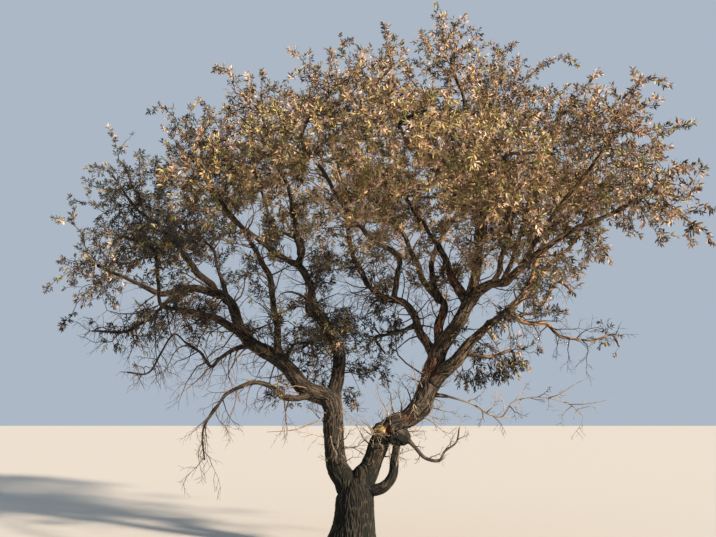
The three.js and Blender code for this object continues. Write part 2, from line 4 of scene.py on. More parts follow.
import bpy
import numpy as np
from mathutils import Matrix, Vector

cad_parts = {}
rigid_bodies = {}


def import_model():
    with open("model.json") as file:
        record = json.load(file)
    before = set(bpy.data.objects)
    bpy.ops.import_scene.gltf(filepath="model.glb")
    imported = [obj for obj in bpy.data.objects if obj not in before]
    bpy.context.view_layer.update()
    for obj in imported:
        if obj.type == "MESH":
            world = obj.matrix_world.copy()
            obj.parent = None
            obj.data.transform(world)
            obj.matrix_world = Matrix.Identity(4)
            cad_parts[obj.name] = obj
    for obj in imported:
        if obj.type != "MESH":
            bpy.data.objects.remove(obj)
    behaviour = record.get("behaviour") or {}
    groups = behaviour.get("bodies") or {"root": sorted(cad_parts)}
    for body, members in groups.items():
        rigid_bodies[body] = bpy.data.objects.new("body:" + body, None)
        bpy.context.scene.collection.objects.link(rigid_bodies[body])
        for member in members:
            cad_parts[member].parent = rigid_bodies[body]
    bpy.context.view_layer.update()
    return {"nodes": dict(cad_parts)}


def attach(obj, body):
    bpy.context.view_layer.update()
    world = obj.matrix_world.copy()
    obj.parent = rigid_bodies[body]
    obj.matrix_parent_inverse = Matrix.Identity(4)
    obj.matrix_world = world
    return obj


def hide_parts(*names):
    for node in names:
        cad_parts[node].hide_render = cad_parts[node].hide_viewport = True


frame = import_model()
bpy.ops.object.select_all(action="DESELECT")
print("frame loaded")

mm = 0.001
clearance = 0.4 * mm
thick = 75 * mm  # a limb from here on has a ring more in each leg
nudge = 1e-4
up = np.array((0.0, 0.0, 1.0))
skew = np.array((0.31, 0.22, 0.93))  # a direction that no limb runs in, to measure turns from
goldenAngle = math.pi * (3 - math.sqrt(5))

# Limbs run in legs of (length, bearing, rise, radius at the end). Bearing 0 is +X and 90 is +Y.
limbs = {
    "left_fork": dict(fusedTo="trunk", start=(-15, 0, 600), root=158, legs=[
        (230, 180, 70, 150), (220, 180, 58, 134)]),
    "right_fork": dict(fusedTo="trunk", start=(20, 0, 600), root=158, legs=[
        (230, 0, 76, 150), (190, 0, 58, 130)]),
    "left_bough": dict(off="left_fork", root=134, legs=[
        (190, 180, 80, 128), (260, 180, 86, 120), (340, 172, 83, 116), (350, 165, 24, 106),
        (350, 155, 46, 98), (360, 150, 34, 90), (320, 160, 28, 86), (300, 150, 48, 76), (370, 162, 64, 64),
        (320, 158, 35, 55), (370, 164, 7, 48), (400, 166, -10, 42), (430, 175, 24, 34)]),
    "inner_left_spur": dict(fusedTo="left_bough", at=5.4, root=34, legs=[(190, 20, 58, 24)]),
    "left_rear_spur": dict(fusedTo="left_bough", at=9.2, root=50, legs=[
        (300, 112, 42, 36), (380, 120, 48, 28)]),
    "middle_bough": dict(off="left_bough", at=2.85, root=104, legs=[
        (480, 72, 58, 88), (370, 92, 57, 84), (280, 133, 42, 80), (300, 135, 62, 78), (220, 145, 35, 74),
        (290, 88, 70, 58), (360, 127, 58, 54), (180, 152, 54, 50), (310, 83, 50, 44), (390, 106, 36, 38),
        (400, 126, 25, 32)]),
    "left_lower_bough": dict(off="left_bough", at=7.6, root=60, legs=[
        (420, -137, 20, 48), (400, -116, 6, 40), (330, -126, 4, 32)]),
    "left_arm": dict(off="middle_bough", at=7.8, root=50, legs=[
        (200, 180, 18, 44), (200, 180, 28, 42), (260, -150, 37, 38), (270, 180, 34, 36), (340, 180, 42, 34),
        (350, 178, 52, 31), (250, 165, 60, 28)]),
    "left_crest_bough": dict(off="left_bough", at=9.6, root=52),
    "left_skirt_bough": dict(off="left_bough", at=10.9, root=40),
    "left_riser": dict(off="left_bough", at=5.6, root=54, legs=[
        (480, -97, 70, 44), (330, -97, 53, 40), (480, -104, 49, 36), (400, -108, 30, 30)]),
    "crooked_arm": dict(off="left_bough", at=6.9, root=40, legs=[
        (290, -144, -17, 27), (230, -149, -32, 24), (160, -127, -37, 21), (220, 180, 48, 18),
        (260, 165, 34, 15)]),
    "low_arch": dict(off="left_bough", at=3.55, root=50, legs=[
        (430, -154, -4, 37), (200, -144, 28, 32), (210, -151, 14, 28), (180, -164, -13, 24),
        (190, 180, -25, 20), (200, -153, -55, 16), (290, -160, -62, 12), (330, -20, -84, 8)]),
    "crest_left_bough": dict(off="middle_bough", at=8.6, root=48),
    "right_bough": dict(off="right_fork", root=130, legs=[
        (220, 0, 68, 122), (260, -5, 64, 118), (130, -10, 42, 120), (190, -10, 20, 122), (210, -8, 42, 122),
        (250, 0, 67, 120), (260, 0, 72, 116), (260, 0, 70, 98), (380, 0, 54, 86), (350, 15, 58, 80),
        (350, -50, 27, 54), (250, -55, -5, 48), (320, -77, 17, 43), (330, -72, 15, 39), (320, -73, 6, 35),
        (370, -37, 24, 31), (340, -27, 19, 27)], burl=((532, -120, 1388), (118, 104, 122))),
    "rear_bough": dict(off="right_bough", at=8, root=76, legs=[
        (280, 97, 72, 60), (390, 73, 58, 52), (260, 112, 35, 48), (500, 104, 34, 44), (500, 93, 38, 40),
        (720, 107, 44, 36), (560, 117, 42, 31)]),
    "inner_bough": dict(off="right_bough", at=7.5, root=70, legs=[
        (370, 133, 46, 56), (300, 132, 63, 52), (255, 140, 52, 48), (235, 154, 10, 46), (210, 146, 31, 42),
        (375, 123, 50, 38), (405, 130, 50, 35), (770, 142, 78, 31), (560, -150, 80, 27)]),
    "inner_middle_spur": dict(fusedTo="inner_bough", at=1.6, root=36, legs=[(200, 140, -12, 26)]),
    "inner_front_bough": dict(off="inner_bough", at=3.6, root=44, legs=[
        (320, -74, 58, 38), (285, -81, 45, 36), (240, -117, 20, 34), (390, -129, 12, 32),
        (670, -117, 12, 29), (400, -107, 12, 26)]),
    "heart_bough": dict(off="right_bough", at=9.8, root=66, legs=[
        (350, 134, 54, 54), (230, 121, 59, 50), (275, 117, 66, 46), (280, 142, 54, 40)]),
    "peak_bough": dict(off="right_bough", at=10, root=72, legs=[
        (350, -60, 78, 60), (235, -73, 64, 56), (260, -76, 38, 52), (280, -93, 45, 46), (520, 121, 84, 38),
        (610, 135, 77, 31), (400, 135, 82, 26)]),
    "crown_right_bough": dict(off="peak_bough", at=1.1, root=50),
    "crown_front_bough": dict(off="peak_bough", at=2.2, root=40),
    "crest_centre_bough": dict(off="peak_bough", at=3.6, root=36),
    "right_front_bough": dict(off="right_bough", at=11.2, root=36),
    "right_rear_bough": dict(off="rear_bough", at=2.2, root=46),
    "right_crest_bough": dict(off="right_bough", at=11.8, root=34),
    "right_top_bough": dict(off="right_bough", at=13.3, root=32),
    "right_arm": dict(off="right_bough", at=6.2, root=106, legs=[
        (420, -38, 34, 80), (300, -15, 50, 60), (270, 0, 45, 48), (210, -17, 36, 43), (320, -12, 41, 39),
        (430, 22, 44, 35), (420, 20, 40, 32)]),
    "inner_right_spur": dict(fusedTo="right_arm", at=1.5, root=34, legs=[(200, -25, -10, 24)]),
    "right_under_spur": dict(fusedTo="right_arm", at=4.1, root=40, legs=[
        (330, 50, 2, 32), (330, 52, 12, 26)]),
    "right_droop": dict(off="right_arm", at=3.3, root=44, legs=[
        (220, -20, 30, 30), (250, 20, -17, 27), (320, 18, -1, 23), (290, 37, -31, 19), (330, 17, -5, 15)]),
    "right_wing_bough": dict(off="right_arm", at=5.6, root=35),
    "side_shoot": dict(start=(90, -20, 735), root=62, legs=[
        (215, -8, 6, 58), (180, -18, 46, 55), (210, -30, 78, 53), (230, 12, 74, 50)]),
    "dead_branch": dict(off="right_bough", at=5.7, root=30, legs=[
        (530, -11, -12, 17), (250, -14, -33, 15), (170, -18, -13, 13), (220, -22, 51, 12),
        (280, -11, 14, 10), (380, -8, -14, 8), (180, -21, -39, 6)]),
    "dead_hook": dict(start=(560, -130, 1400), root=32, legs=[
        (230, -20, -43, 24), (180, -24, -48, 20), (170, -18, -7, 17), (120, 0, 59, 13), (180, 0, 38, 11),
        (170, 0, 76, 8)]),
}

# A mass of foliage stands on a limb's tip, at a centre and with half its size each way. Its habit is how many
# shoots its stem has in the solids, how many more it has here, how leafy they are, what share is bare, and
# how far their sprays lift or hang.
masses = {}
usualHabit = {"shoots": 5, "more": 1, "leafy": 0.97, "bare": 0.0, "lift": 0.16}


def addMass(name, limb, centre, half, tint, **habit):
    place = {"centre": np.array(centre) * mm, "half": np.array(half) * mm, "size": sum(half) / 3 * mm}
    masses[name] = {"on": limb, "tint": tint, **place, **usualHabit, **habit}


# masses with the grey tint are in the shade of the crown, and their leaves carry painted shade
addMass("left_tip", "left_bough", (-3610, 900, 3660), (550, 600, 760), "grey", leafy=0.66, lift=0.02)
addMass("left_crest", "left_crest_bough", (-3580, 1750, 4960), (760, 700, 800), "grey", leafy=0.57)
addMass("left_rear", "left_rear_spur", (-2850, 2450, 4600), (760, 700, 680), "grey", leafy=0.65)
addMass("left_heart", "left_lower_bough", (-2350, -800, 3520), (640, 600, 560), "grey", leafy=0.8, lift=0.0)
addMass("left_skirt", "left_skirt_bough", (-2960, 300, 2670), (860, 560, 420), "grey",
        leafy=0.3, bare=0.6, lift=-0.35)
addMass("left_hem", "crooked_arm", (-2600, 100, 2130), (520, 420, 300), "grey",
        shoots=3, leafy=0.15, bare=0.85, lift=-0.45)
addMass("left_shoulder", "left_arm", (-2190, 600, 5330), (740, 700, 740), "tan", leafy=0.67)
addMass("left_front", "left_riser", (-1560, -1650, 4060), (640, 620, 540), "olive", leafy=0.8, bare=0.1)
addMass("crest_left", "crest_left_bough", (-1200, -150, 5380), (700, 700, 680), "tan", leafy=0.82)
addMass("crest_left_rear", "middle_bough", (-1650, 2300, 5450), (800, 700, 720), "tan", leafy=0.88)
addMass("crown_left_front", "inner_front_bough", (-530, -2150, 4300), (640, 600, 490), "olive")
addMass("crest_middle", "inner_bough", (-400, 800, 6140), (720, 720, 780), "tan", leafy=0.82)
addMass("crest_centre", "crest_centre_bough", (280, -900, 5520), (580, 640, 640), "tan", leafy=0.82)
addMass("crown_back", "rear_bough", (200, 2550, 5450), (880, 700, 780), "olive")
addMass("crown_front", "crown_front_bough", (430, -2550, 4320), (640, 580, 520), "olive")
addMass("peak", "peak_bough", (1260, -300, 6200), (560, 560, 760), "tan", leafy=0.68)
addMass("heart", "heart_bough", (740, 720, 4620), (720, 600, 580), "olive", leafy=0.88)
addMass("crown_right", "crown_right_bough", (2080, 620, 6090), (720, 680, 740), "tan")
addMass("right_front", "right_front_bough", (1480, -2350, 4080), (640, 580, 520), "olive")
addMass("crown_right_rear", "right_rear_bough", (2040, 2150, 5350), (860, 700, 780), "olive")
addMass("right_crest", "right_crest_bough", (2430, -850, 5030), (600, 600, 580), "tan", leafy=0.9)
addMass("right_top", "right_top_bough", (2850, -1600, 4640), (580, 560, 590), "tan")
addMass("right_tip", "right_bough", (3010, -2000, 3830), (520, 540, 580), "tan", leafy=0.92, lift=-0.15)
addMass("right_heart", "right_arm", (3060, -350, 4330), (620, 580, 580), "tan", leafy=0.68)
addMass("right_wing", "right_wing_bough", (3200, 1350, 4950), (740, 660, 680), "tan", leafy=0.78)
addMass("right_under", "right_under_spur", (2880, 950, 3450), (500, 460, 440), "grey",
        shoots=4, leafy=0.2, bare=0.6, lift=-0.2)
addMass("right_sprig", "right_droop", (3230, 40, 2600), (340, 320, 280), "grey",
        shoots=3, leafy=0.45, bare=0.5, lift=-0.3)
addMass("inner_right", "inner_right_spur", (1880, -350, 2360), (380, 320, 280), "grey",
        shoots=3, leafy=0.45, bare=0.45, more=1.3)
addMass("inner_left", "inner_left_spur", (-560, 80, 2520), (360, 340, 320), "grey",
        shoots=3, leafy=0.85, bare=0.2, more=1.5)
addMass("inner_middle", "inner_middle_spur", (270, 780, 2640), (500, 440, 440), "grey",
        shoots=4, leafy=0.42, bare=0.5, more=1.8)

trunk = {
    "height": 880,
    "radius": 212,
    "lean": 10,
    "waist": (0.35, 0.72, 1.02),  # share that it gives up to its forks, between these shares of its height
    "skirt": 18,
    "flareHeight": 210,
    # (bearing, reach at the ground, width in degrees)
    "flares": ((182, 235, 24), (118, 95, 28), (55, 110, 26), (-8, 85, 26), (-62, 120, 28), (-122, 90, 28)),
    "sides": 96,
    "rows": 26,
    "buried": 0.02,  # below the ground, until the foot is cut flat
    "axis": (-0.06, 0.92, 29),  # from and to in metres, and how many rings
    "forkRadius": 0.15,  # of what a bough leaves at the fork
    "shootRadius": 0.19,  # of what the side shoot leaves
}

leader = {"legLength": 600, "lead": 0.3, "lift": 0.12, "wander": 0.035, "tip": 24, "entry": 0.75}

stemRule = {
    "shares": (0.82, 0.85, 0.7),  # root against the limb's tip, then the next corners against the root
    "run": 0.3,
    "least": 22,
    "tip": 12,
    "crownHeart": (-100, 0, 3900),
    "depth": 0.52,
    "spread": (0.85, 0.3),
    "turn": 0.6,
}


def lengths(v):
    return np.linalg.norm(v, axis=-1)


def unit(v):
    return v / np.maximum(lengths(v)[..., None], 1e-9)


def smoothStep(x, low, high):
    t = np.clip((x - low) / (high - low), 0, 1)
    return t * t * (3 - 2 * t)


def bezier(start, first, second, end, t):
    return (1 - t) ** 3 * start + 3 * t * (1 - t) ** 2 * first + 3 * t * t * (1 - t) * second + t**3 * end


def nearness(points, place, reach, power=2):
    # 1 at a place in millimetres, and nothing well past its reach
    return np.exp(-((lengths(points - np.array(place) * mm) / (reach * mm)) ** power))


def readPoints(mesh, label="co"):
    values = np.empty(len(mesh.vertices) * 3, np.float32)
    mesh.vertices.foreach_get(label, values)
    return values.reshape(-1, 3)


def writePoints(mesh, points):
    mesh.vertices.foreach_set("co", points.astype(np.float32).ravel())


def addAttributes(mesh, attributes):
    for label, values in attributes.items():
        mesh.attributes.new(label, "FLOAT", "POINT").data.foreach_set("value", values.astype(np.float32))


def direction(bearing, rise):
    b, r = math.radians(bearing), math.radians(rise)
    return np.array((math.cos(r) * math.cos(b), math.cos(r) * math.sin(b), math.sin(r)))


def seeded(name):
    # a repeatable stream of numbers from 0 to 1, the same one that the solids use
    state = 7
    for letter in name:
        state = (state * 31 + ord(letter)) & 0xFFFFFFFF

    def draw():
        nonlocal state
        state = (state + 0x6D2B79F5) & 0xFFFFFFFF
        t = ((state ^ (state >> 15)) * (1 | state)) & 0xFFFFFFFF
        t = ((t + ((t ^ (t >> 7)) * (61 | t))) ^ t) & 0xFFFFFFFF
        return (t ^ (t >> 14)) / 4294967296

    return draw


def streamFor(name):
    return np.random.default_rng([ord(letter) for letter in name])


# Lines: where every limb runs, by the rule of the solids.


def curveThrough(corners, places):
    # a centripetal curve through the corners, at places counted in legs
    ends = 2 * corners[0] - corners[1], 2 * corners[-1] - corners[-2]
    points = np.vstack((ends[0], corners, ends[1]))
    places = np.atleast_1d(np.asarray(places, float))
    leg = np.clip(np.floor(places).astype(int), 0, len(corners) - 2)
    w = (places - leg)[:, None]
    a, b, c, d = (points[leg + k] for k in range(4))
    d0, d1, d2 = (np.linalg.norm(q - p, axis=1, keepdims=True) ** 0.5 for p, q in ((a, b), (b, c), (c, d)))
    t1 = ((b - a) / d0 - (c - a) / (d0 + d1) + (c - b) / d1) * d1
    t2 = ((c - b) / d1 - (d - b) / (d1 + d2) + (d - c) / d2) * d1
    return b + w * (t1 + w * ((-3 * b + 3 * c - 2 * t1 - t2) + w * (2 * b - 2 * c + t1 + t2)))


def ringsOf(corners, radii):
    places = [0]
    for i in range(1, len(corners)):
        places += [i - 0.5, i] if radii[i] > thick else [i]
    legs = len(corners) - 1
    ahead = curveThrough(corners, np.minimum(np.array(places) + nudge, legs))
    behind = curveThrough(corners, np.maximum(np.array(places) - nudge, 0))
    line = {"corners": corners, "radii": np.array(radii), "places": np.array(places, float)}
    return {**line, "centres": curveThrough(corners, places), "headings": unit(ahead - behind)}


def middleAt(line, place):
    i = max(1, int(np.searchsorted(line["places"], place)))
    low, high = line["places"][i - 1 : i + 1]
    before, after = line["centres"][i - 1 : i + 1]
    return before + (after - before) * (place - low) / (high - low)


def leaderCorners(name, limb, start, heading):
    mass = next(m for m in masses.values() if m["on"] == name)
    way = mass["centre"] - start
    span = np.linalg.norm(way) - leader["entry"] * mass["size"]
    way = unit(way)
    end = start + way * span
    p1 = start + heading * leader["lead"] * span + up * leader["lift"] * span
    p2 = end - way * leader["lead"] * span + up * leader["lift"] * span
    draw = seeded(name)
    legs = max(2, math.floor(span / (leader["legLength"] * mm) + 0.5))
    corners = []
    for i in range(legs + 1):
        t = i / legs
        stray = leader["wander"] * span if 0 < i < legs else 0
        corners.append(bezier(start, p1, p2, end, t) + np.array([draw() - 0.5 for _ in range(3)]) * 2 * stray)
    radii = [(limb["root"] + (leader["tip"] - limb["root"]) * i / legs) * mm for i in range(legs + 1)]
    return np.array(corners), radii


lines = {}
for name, limb in limbs.items():
    parent = lines.get(limb.get("off") or limb.get("fusedTo"))
    heading = up
    if "start" in limb:
        start = np.array(limb["start"]) * mm
    elif "at" in limb:
        start = middleAt(parent, limb["at"])
        heading = parent["headings"][int(np.searchsorted(parent["places"], limb["at"]))]
    else:
        start = parent["centres"][-1] + parent["headings"][-1] * clearance
    if "legs" in limb:
        corners, radii = [start], [limb["root"] * mm]
        for length, bearing, rise, radius in limb["legs"]:
            corners.append(corners[-1] + direction(bearing, rise) * length * mm)
            radii.append(radius * mm)
        corners = np.array(corners)
    else:
        corners, radii = leaderCorners(name, limb, start, heading)
    lines[name] = ringsOf(corners, radii)


# The space of each mass, and the stem that leads into it.


def inOwnSpace(name, points, scale=1.0, margin=6 * mm):
    own = masses[name]
    centre = own["centre"]
    off = np.atleast_2d(points) - centre
    inside = lengths(off / own["half"]) <= scale
    for other, mass in masses.items():
        if other != name:
            away = mass["centre"] - centre
            gap = np.linalg.norm(away)
            plane = (gap * gap + own["size"] ** 2 - mass["size"] ** 2) / (2 * gap)
            inside &= off @ away / gap < plane - margin
    return inside


def turnedTo(outward):
    # columns are two directions across, and outward itself
    turn = Vector((0, 0, 1)).rotation_difference(Vector(outward))
    return np.array(turn.to_matrix())


def shootEnds(name, mass):
    draw = seeded(name)
    centre = mass["centre"]
    turn = turnedTo(unit(centre - np.array(stemRule["crownHeart"]) * mm))
    least, spread = stemRule["spread"]
    shoots = mass["shoots"]
    ends = []
    for i in range(shoots):
        height = 1 - (2 * (i + 0.35)) / shoots
        ring = math.sqrt(max(0, 1 - height * height))
        angle = i * goldenAngle + draw() * stemRule["turn"]
        out = turn @ np.array((ring * math.cos(angle), ring * math.sin(angle), height))
        ends.append(centre + out * mass["half"] * stemRule["depth"] * (least + spread * draw()))
    return [end for end in ends if inOwnSpace(name, end)[0]]


def stemCorners(name, mass):
    limb = lines[mass["on"]]
    heading = limb["headings"][-1]
    start = limb["centres"][-1] + heading * clearance
    centre = mass["centre"]
    rootShare, bendShare, middleShare = stemRule["shares"]
    root = limb["radii"][-1] * rootShare
    slim = min(root, stemRule["least"] * mm)
    bend = start + heading * np.linalg.norm(centre - start) * stemRule["run"]
    corners = np.array((start, bend, (bend + centre) / 2, centre, shootEnds(name, mass)[0]))
    radii = [root, max(slim, root * bendShare), max(slim, root * middleShare), slim, stemRule["tip"] * mm]
    return corners, radii


# Paths: the same lines, with a ring every few centimetres, for the wood.

straying = {
    "step": 0.035,
    "lumps": (0.05, 0.11),  # share of the radius, and from lump to lump
    "sway": (0.4, 0.23),  # share of the radius, and from bend to bend
    "steadyEnd": 0.3,
    "steadyRadius": (0.05, 0.085),  # slimmer limbs sway, thicker ones don't
}


def densePath(name, corners, radii, step=straying["step"], strays=True):
    lumps, lumpGap = straying["lumps"]
    sway, bendGap = straying["sway"]
    places = [0.0]
    for i, length in enumerate(lengths(np.diff(corners, axis=0))):
        count = max(2, math.ceil(length / step))
        places += [i + k / count for k in range(1, count + 1)]
    centre = curveThrough(corners, places)
    run = np.concatenate(((0,), np.cumsum(lengths(np.diff(centre, axis=0)))))
    random = streamFor(name)
    knots = np.arange(0, run[-1] + 0.3, lumpGap)
    swell = np.interp(run, knots, random.normal(0, lumps * strays, len(knots)))
    radius = np.interp(places, range(len(radii)), radii) * (1 + swell)
    bends = np.arange(0, run[-1] + 0.5, bendGap)
    stray = random.normal(0, sway * strays, (len(bends), 3))
    stray = np.stack([np.interp(run, bends, stray[:, k]) for k in range(3)], 1)
    steady = straying["steadyEnd"]
    share = smoothStep(run, 0.0, steady) * smoothStep(run[-1] - run, 0.0, steady)
    share *= 1 - smoothStep(radius, *straying["steadyRadius"])
    centre = centre + stray * (radius * share)[:, None]
    heading = unit(np.gradient(centre, axis=0))
    side = np.zeros_like(heading)
    last = np.array((0.0, 1.0, 0.0)) if abs(heading[0][1]) < 0.9 else np.array((1.0, 0.0, 0.0))
    for i, h in enumerate(heading):
        last = unit(last - h * (last @ h))
        side[i] = last
    path = {"centre": centre, "run": run, "radius": radius, "heading": heading, "side": side}
    return {**path, "over": np.cross(side, heading)}


paths = {}
for name, limb in limbs.items():
    if limb.get("fusedTo") == "trunk":
        continue
    corners, radii = lines[name]["corners"], lines[name]["radii"]
    before = lines.get(limb.get("off")) if "at" not in limb else None
    if before:  # a main bough runs on from its fork
        corners = np.vstack((before["corners"], corners[1:]))
        radii = np.concatenate((before["radii"], radii[1:]))
    paths[name] = path = densePath(name, corners, radii)
    parent = limb.get("off") or limb.get("fusedTo")
    path["parent"] = "trunk" if before or parent is None else parent
    path["parentRadius"] = trunk["forkRadius"]
    if "at" in limb:
        radii = lines[parent]["radii"]
        path["parentRadius"] = float(np.interp(limb["at"], range(len(radii)), radii))
paths["dead_hook"]["parent"] = "right_bough"
paths["side_shoot"]["parentRadius"] = trunk["shootRadius"]
for name, mass in masses.items():
    paths["stem_" + name] = densePath(name, *stemCorners(name, mass))
axis = np.linspace(*trunk["axis"])
paths["trunk"] = densePath(
    "trunk",
    np.c_[axis * trunk["lean"] / trunk["height"], 0 * axis, axis],
    np.full(len(axis), trunk["radius"] * mm),
    step=0.1,
    strays=False,
)
print("lines laid:", len(lines), "limbs,", len(masses), "masses")


# Meshes from arrays.


def meshFrom(name, verts, blocks, attributes, uv=None):
    # blocks are face arrays, each of one corner count
    mesh = bpy.data.meshes.new(name)
    corners = np.concatenate([b.ravel() for b in blocks]).astype(np.int32)
    totals = np.concatenate([np.full(len(b), b.shape[1], np.int32) for b in blocks])
    mesh.vertices.add(len(verts))
    mesh.vertices.foreach_set("co", np.asarray(verts, np.float32).ravel())
    mesh.loops.add(len(corners))
    mesh.loops.foreach_set("vertex_index", corners)
    mesh.polygons.add(len(totals))
    mesh.polygons.foreach_set("loop_start", np.concatenate(((0,), np.cumsum(totals)[:-1])).astype(np.int32))
    addAttributes(mesh, attributes)
    if uv is not None:
        mesh.uv_layers.new(name="leafMap").data.foreach_set("uv", uv[corners].astype(np.float32).ravel())
    mesh.update()
    mesh.validate()
    piece = bpy.data.objects.new(name, mesh)
    bpy.context.scene.collection.objects.link(piece)
    return piece


def tubeArrays(centres, radii, sides):
    # n tapering tubes of k rings each, closed at both ends
    n, k, _ = centres.shape
    heading = unit(np.gradient(centres, axis=1))
    side = np.zeros_like(heading)
    last = unit(np.cross(heading[:, 0], skew))
    for j in range(k):
        last = unit(last - heading[:, j] * (last * heading[:, j]).sum(1, keepdims=True))
        side[:, j] = last
    over = np.cross(heading, side)
    angle = np.arange(sides) * 2 * math.pi / sides
    ring = side[:, :, None] * np.cos(angle)[:, None] + over[:, :, None] * np.sin(angle)[:, None]
    verts = (centres[:, :, None] + ring * radii[:, :, None, None]).reshape(-1, 3)
    base = (np.arange(n) * k * sides)[:, None, None] + (np.arange(k - 1) * sides)[:, None]
    here = np.arange(sides)
    after = (here + 1) % sides
    quads = np.stack((base + here, base + after, base + after + sides, base + here + sides), -1)
    first = (np.arange(n) * k * sides)[:, None] + here[::-1]
    tips = (np.arange(n) * k * sides + (k - 1) * sides)[:, None] + here
    return verts, quads.reshape(-1, 4), np.vstack((first, tips))


def joinTubes(name, groups):
    # groups of (centres, radii, sides, tone) become one mesh
    verts, blocks, tones, count = [], [], [], 0
    for centres, radii, sides, tone in groups:
        v, quads, caps = tubeArrays(centres, radii, sides)
        verts.append(v)
        tone = np.reshape(tone, (-1, 1)) if np.ndim(tone) < 2 else tone
        tones.append(np.repeat(np.broadcast_to(tone, radii.shape), sides))
        blocks += [quads + count, caps + count]
        count += len(v)
    return meshFrom(name, np.vstack(verts), blocks, {"tone": np.concatenate(tones)})


# The boughs as modelled wood.

wood = {
    "collar": (0.36, 1.1),  # how much a limb widens at its root, and over how many of its parent's radii
    "stub": 0.17,  # how far a piece runs on into the limbs that another piece carries
    "overlap": 0.12,  # how far such a limb's own piece runs back into it
    "forkEnds": (0.42, 0.62),  # where the boughs' own piece begins on the fork, and the trunk's ends
    # how much slimmer, and over what length
    "stubTip": (0.3, 0.08),
    "limbTip": (0.18, 0.12),
    "limbRoot": (0.15, 0.05),
    "smoothing": (0.5, 5),  # how strong, and how often
    "pieces": {
        "trunk_wood": {"voxel": 0.006, "limbs": ()},
        "main_boughs": {
            "voxel": 0.0095,
            "limbs": ("left_bough", "inner_left_spur", "left_rear_spur", "right_bough"),
        },
        "second_boughs": {
            "voxel": 0.011,
            "limbs": (
                "middle_bough", "left_lower_bough", "left_arm", "left_riser", "rear_bough", "inner_bough",
                "inner_middle_spur", "heart_bough", "peak_bough", "right_arm", "inner_right_spur",
                "right_under_spur", "side_shoot",
            ),
        },
        "high_boughs": {
            "voxel": 0.011,
            "limbs": (
                "left_crest_bough", "left_skirt_bough", "crest_left_bough", "inner_front_bough",
                "crown_right_bough", "crown_front_bough", "crest_centre_bough", "right_front_bough",
                "right_rear_bough", "right_crest_bough", "right_top_bough", "right_wing_bough",
            ),
        },
    },
    # the burl, and the shoulder where the bough turns: (place, size)
    "knots": (limbs["right_bough"]["burl"], ((350, -25, 1432), (118, 116, 104))),
    "knobs": ((0.3, 0.065), (0.2, 0.034)),  # on them: height against the size, and width
    "swollen": 1.03,  # against their size, without the knobs
    "slender": ("crooked_arm", "low_arch", "right_droop"),
    "dead": {"dead_branch": (0.7, 0.62), "dead_hook": (0.2, 1)},  # how pale each has weathered, and how thin
}


def layTube(points, radii):
    bpy.ops.curve.primitive_nurbs_path_add()
    tube = bpy.context.object
    curve = tube.data
    curve.splines.clear()
    spline = curve.splines.new("POLY")
    spline.points.add(len(points) - 1)
    spline.points.foreach_set("co", np.c_[points, np.ones(len(points))].astype(np.float32).ravel())
    spline.points.foreach_set("radius", radii.astype(np.float32))
    curve.dimensions = "3D"
    curve.bevel_depth = 1
    curve.bevel_resolution = 5
    curve.use_fill_caps = True
    tube.location = (0, 0, 0)
    bpy.ops.object.convert(target="MESH")
    return bpy.context.object


def tubeFor(name, begin=0.0, end=99.0, collar=False, taper=False):
    path = paths[name]
    run, radius = path["run"], path["radius"].copy()
    if collar:
        wider, reach = wood["collar"]
        radius *= 1 + wider * np.exp(-((run / (reach * path["parentRadius"])) ** 2))
    slimmer, reach = wood["stubTip" if taper else "limbTip"]
    tip = end if taper else run[-1]
    radius *= 1 - slimmer * smoothStep(run, tip - reach, tip)
    if begin > 0:
        slimmer, reach = wood["limbRoot"]
        radius *= 1 - slimmer * (1 - smoothStep(run, begin, begin + reach))
    keep = (run >= begin) & (run <= end)
    return layTube(path["centre"][keep], radius[keep])


def trunkRadius(bearing, height):
    share, low, high = trunk["waist"]
    waist = 1 - share * smoothStep(height, low * trunk["height"], high * trunk["height"])
    reach = trunk["skirt"] + 0 * bearing
    for at, out, width in trunk["flares"]:
        off = (bearing - at + 180) % 360 - 180
        reach = reach + out * np.exp(-0.5 * (off / width) ** 2)
    return (trunk["radius"] * waist + reach * np.exp(-np.maximum(height, 0) / trunk["flareHeight"])) * mm


def modelTrunk():
    step = (trunk["height"] * mm + trunk["buried"]) / trunk["rows"]
    middle = (0, 0, step / 2 - trunk["buried"])
    bpy.ops.mesh.primitive_cylinder_add(vertices=trunk["sides"], radius=1, depth=step, location=middle)
    body = bpy.context.object
    bpy.ops.object.transform_apply(location=True, rotation=True, scale=True)
    for face in body.data.polygons:
        face.select = face.normal.z > 0.9
    bpy.ops.object.mode_set(mode="EDIT")
    bpy.ops.mesh.select_mode(type="FACE")
    for _ in range(trunk["rows"] - 1):
        bpy.ops.mesh.extrude_region_move(TRANSFORM_OT_translate={"value": (0, 0, step)})
    bpy.ops.object.mode_set(mode="OBJECT")
    co = readPoints(body.data)
    bearing = np.degrees(np.arctan2(co[:, 1], co[:, 0]))
    radius = trunkRadius(bearing, co[:, 2] / mm)
    lean = trunk["lean"] / trunk["height"] * co[:, 2]
    angle = np.radians(bearing)
    co[:, 0] = radius * np.cos(angle) + lean
    co[:, 1] = radius * np.sin(angle)
    writePoints(body.data, co)
    return body


def modelBurl(at, size):
    centre, size = np.array(at) * mm, np.array(size) * mm
    bpy.ops.mesh.primitive_ico_sphere_add(subdivisions=4, radius=1, location=centre, scale=size)
    burl = bpy.context.object
    bpy.ops.object.transform_apply(location=True, rotation=True, scale=True)
    co = readPoints(burl.data).astype(float)
    knobs = wood["swollen"]
    for salt, (height, width) in enumerate(wood["knobs"], 1):
        knobs = knobs + height * smoothNoise(co / width, salt)[:, None]
    writePoints(burl.data, centre + (co - centre) * knobs)
    return burl


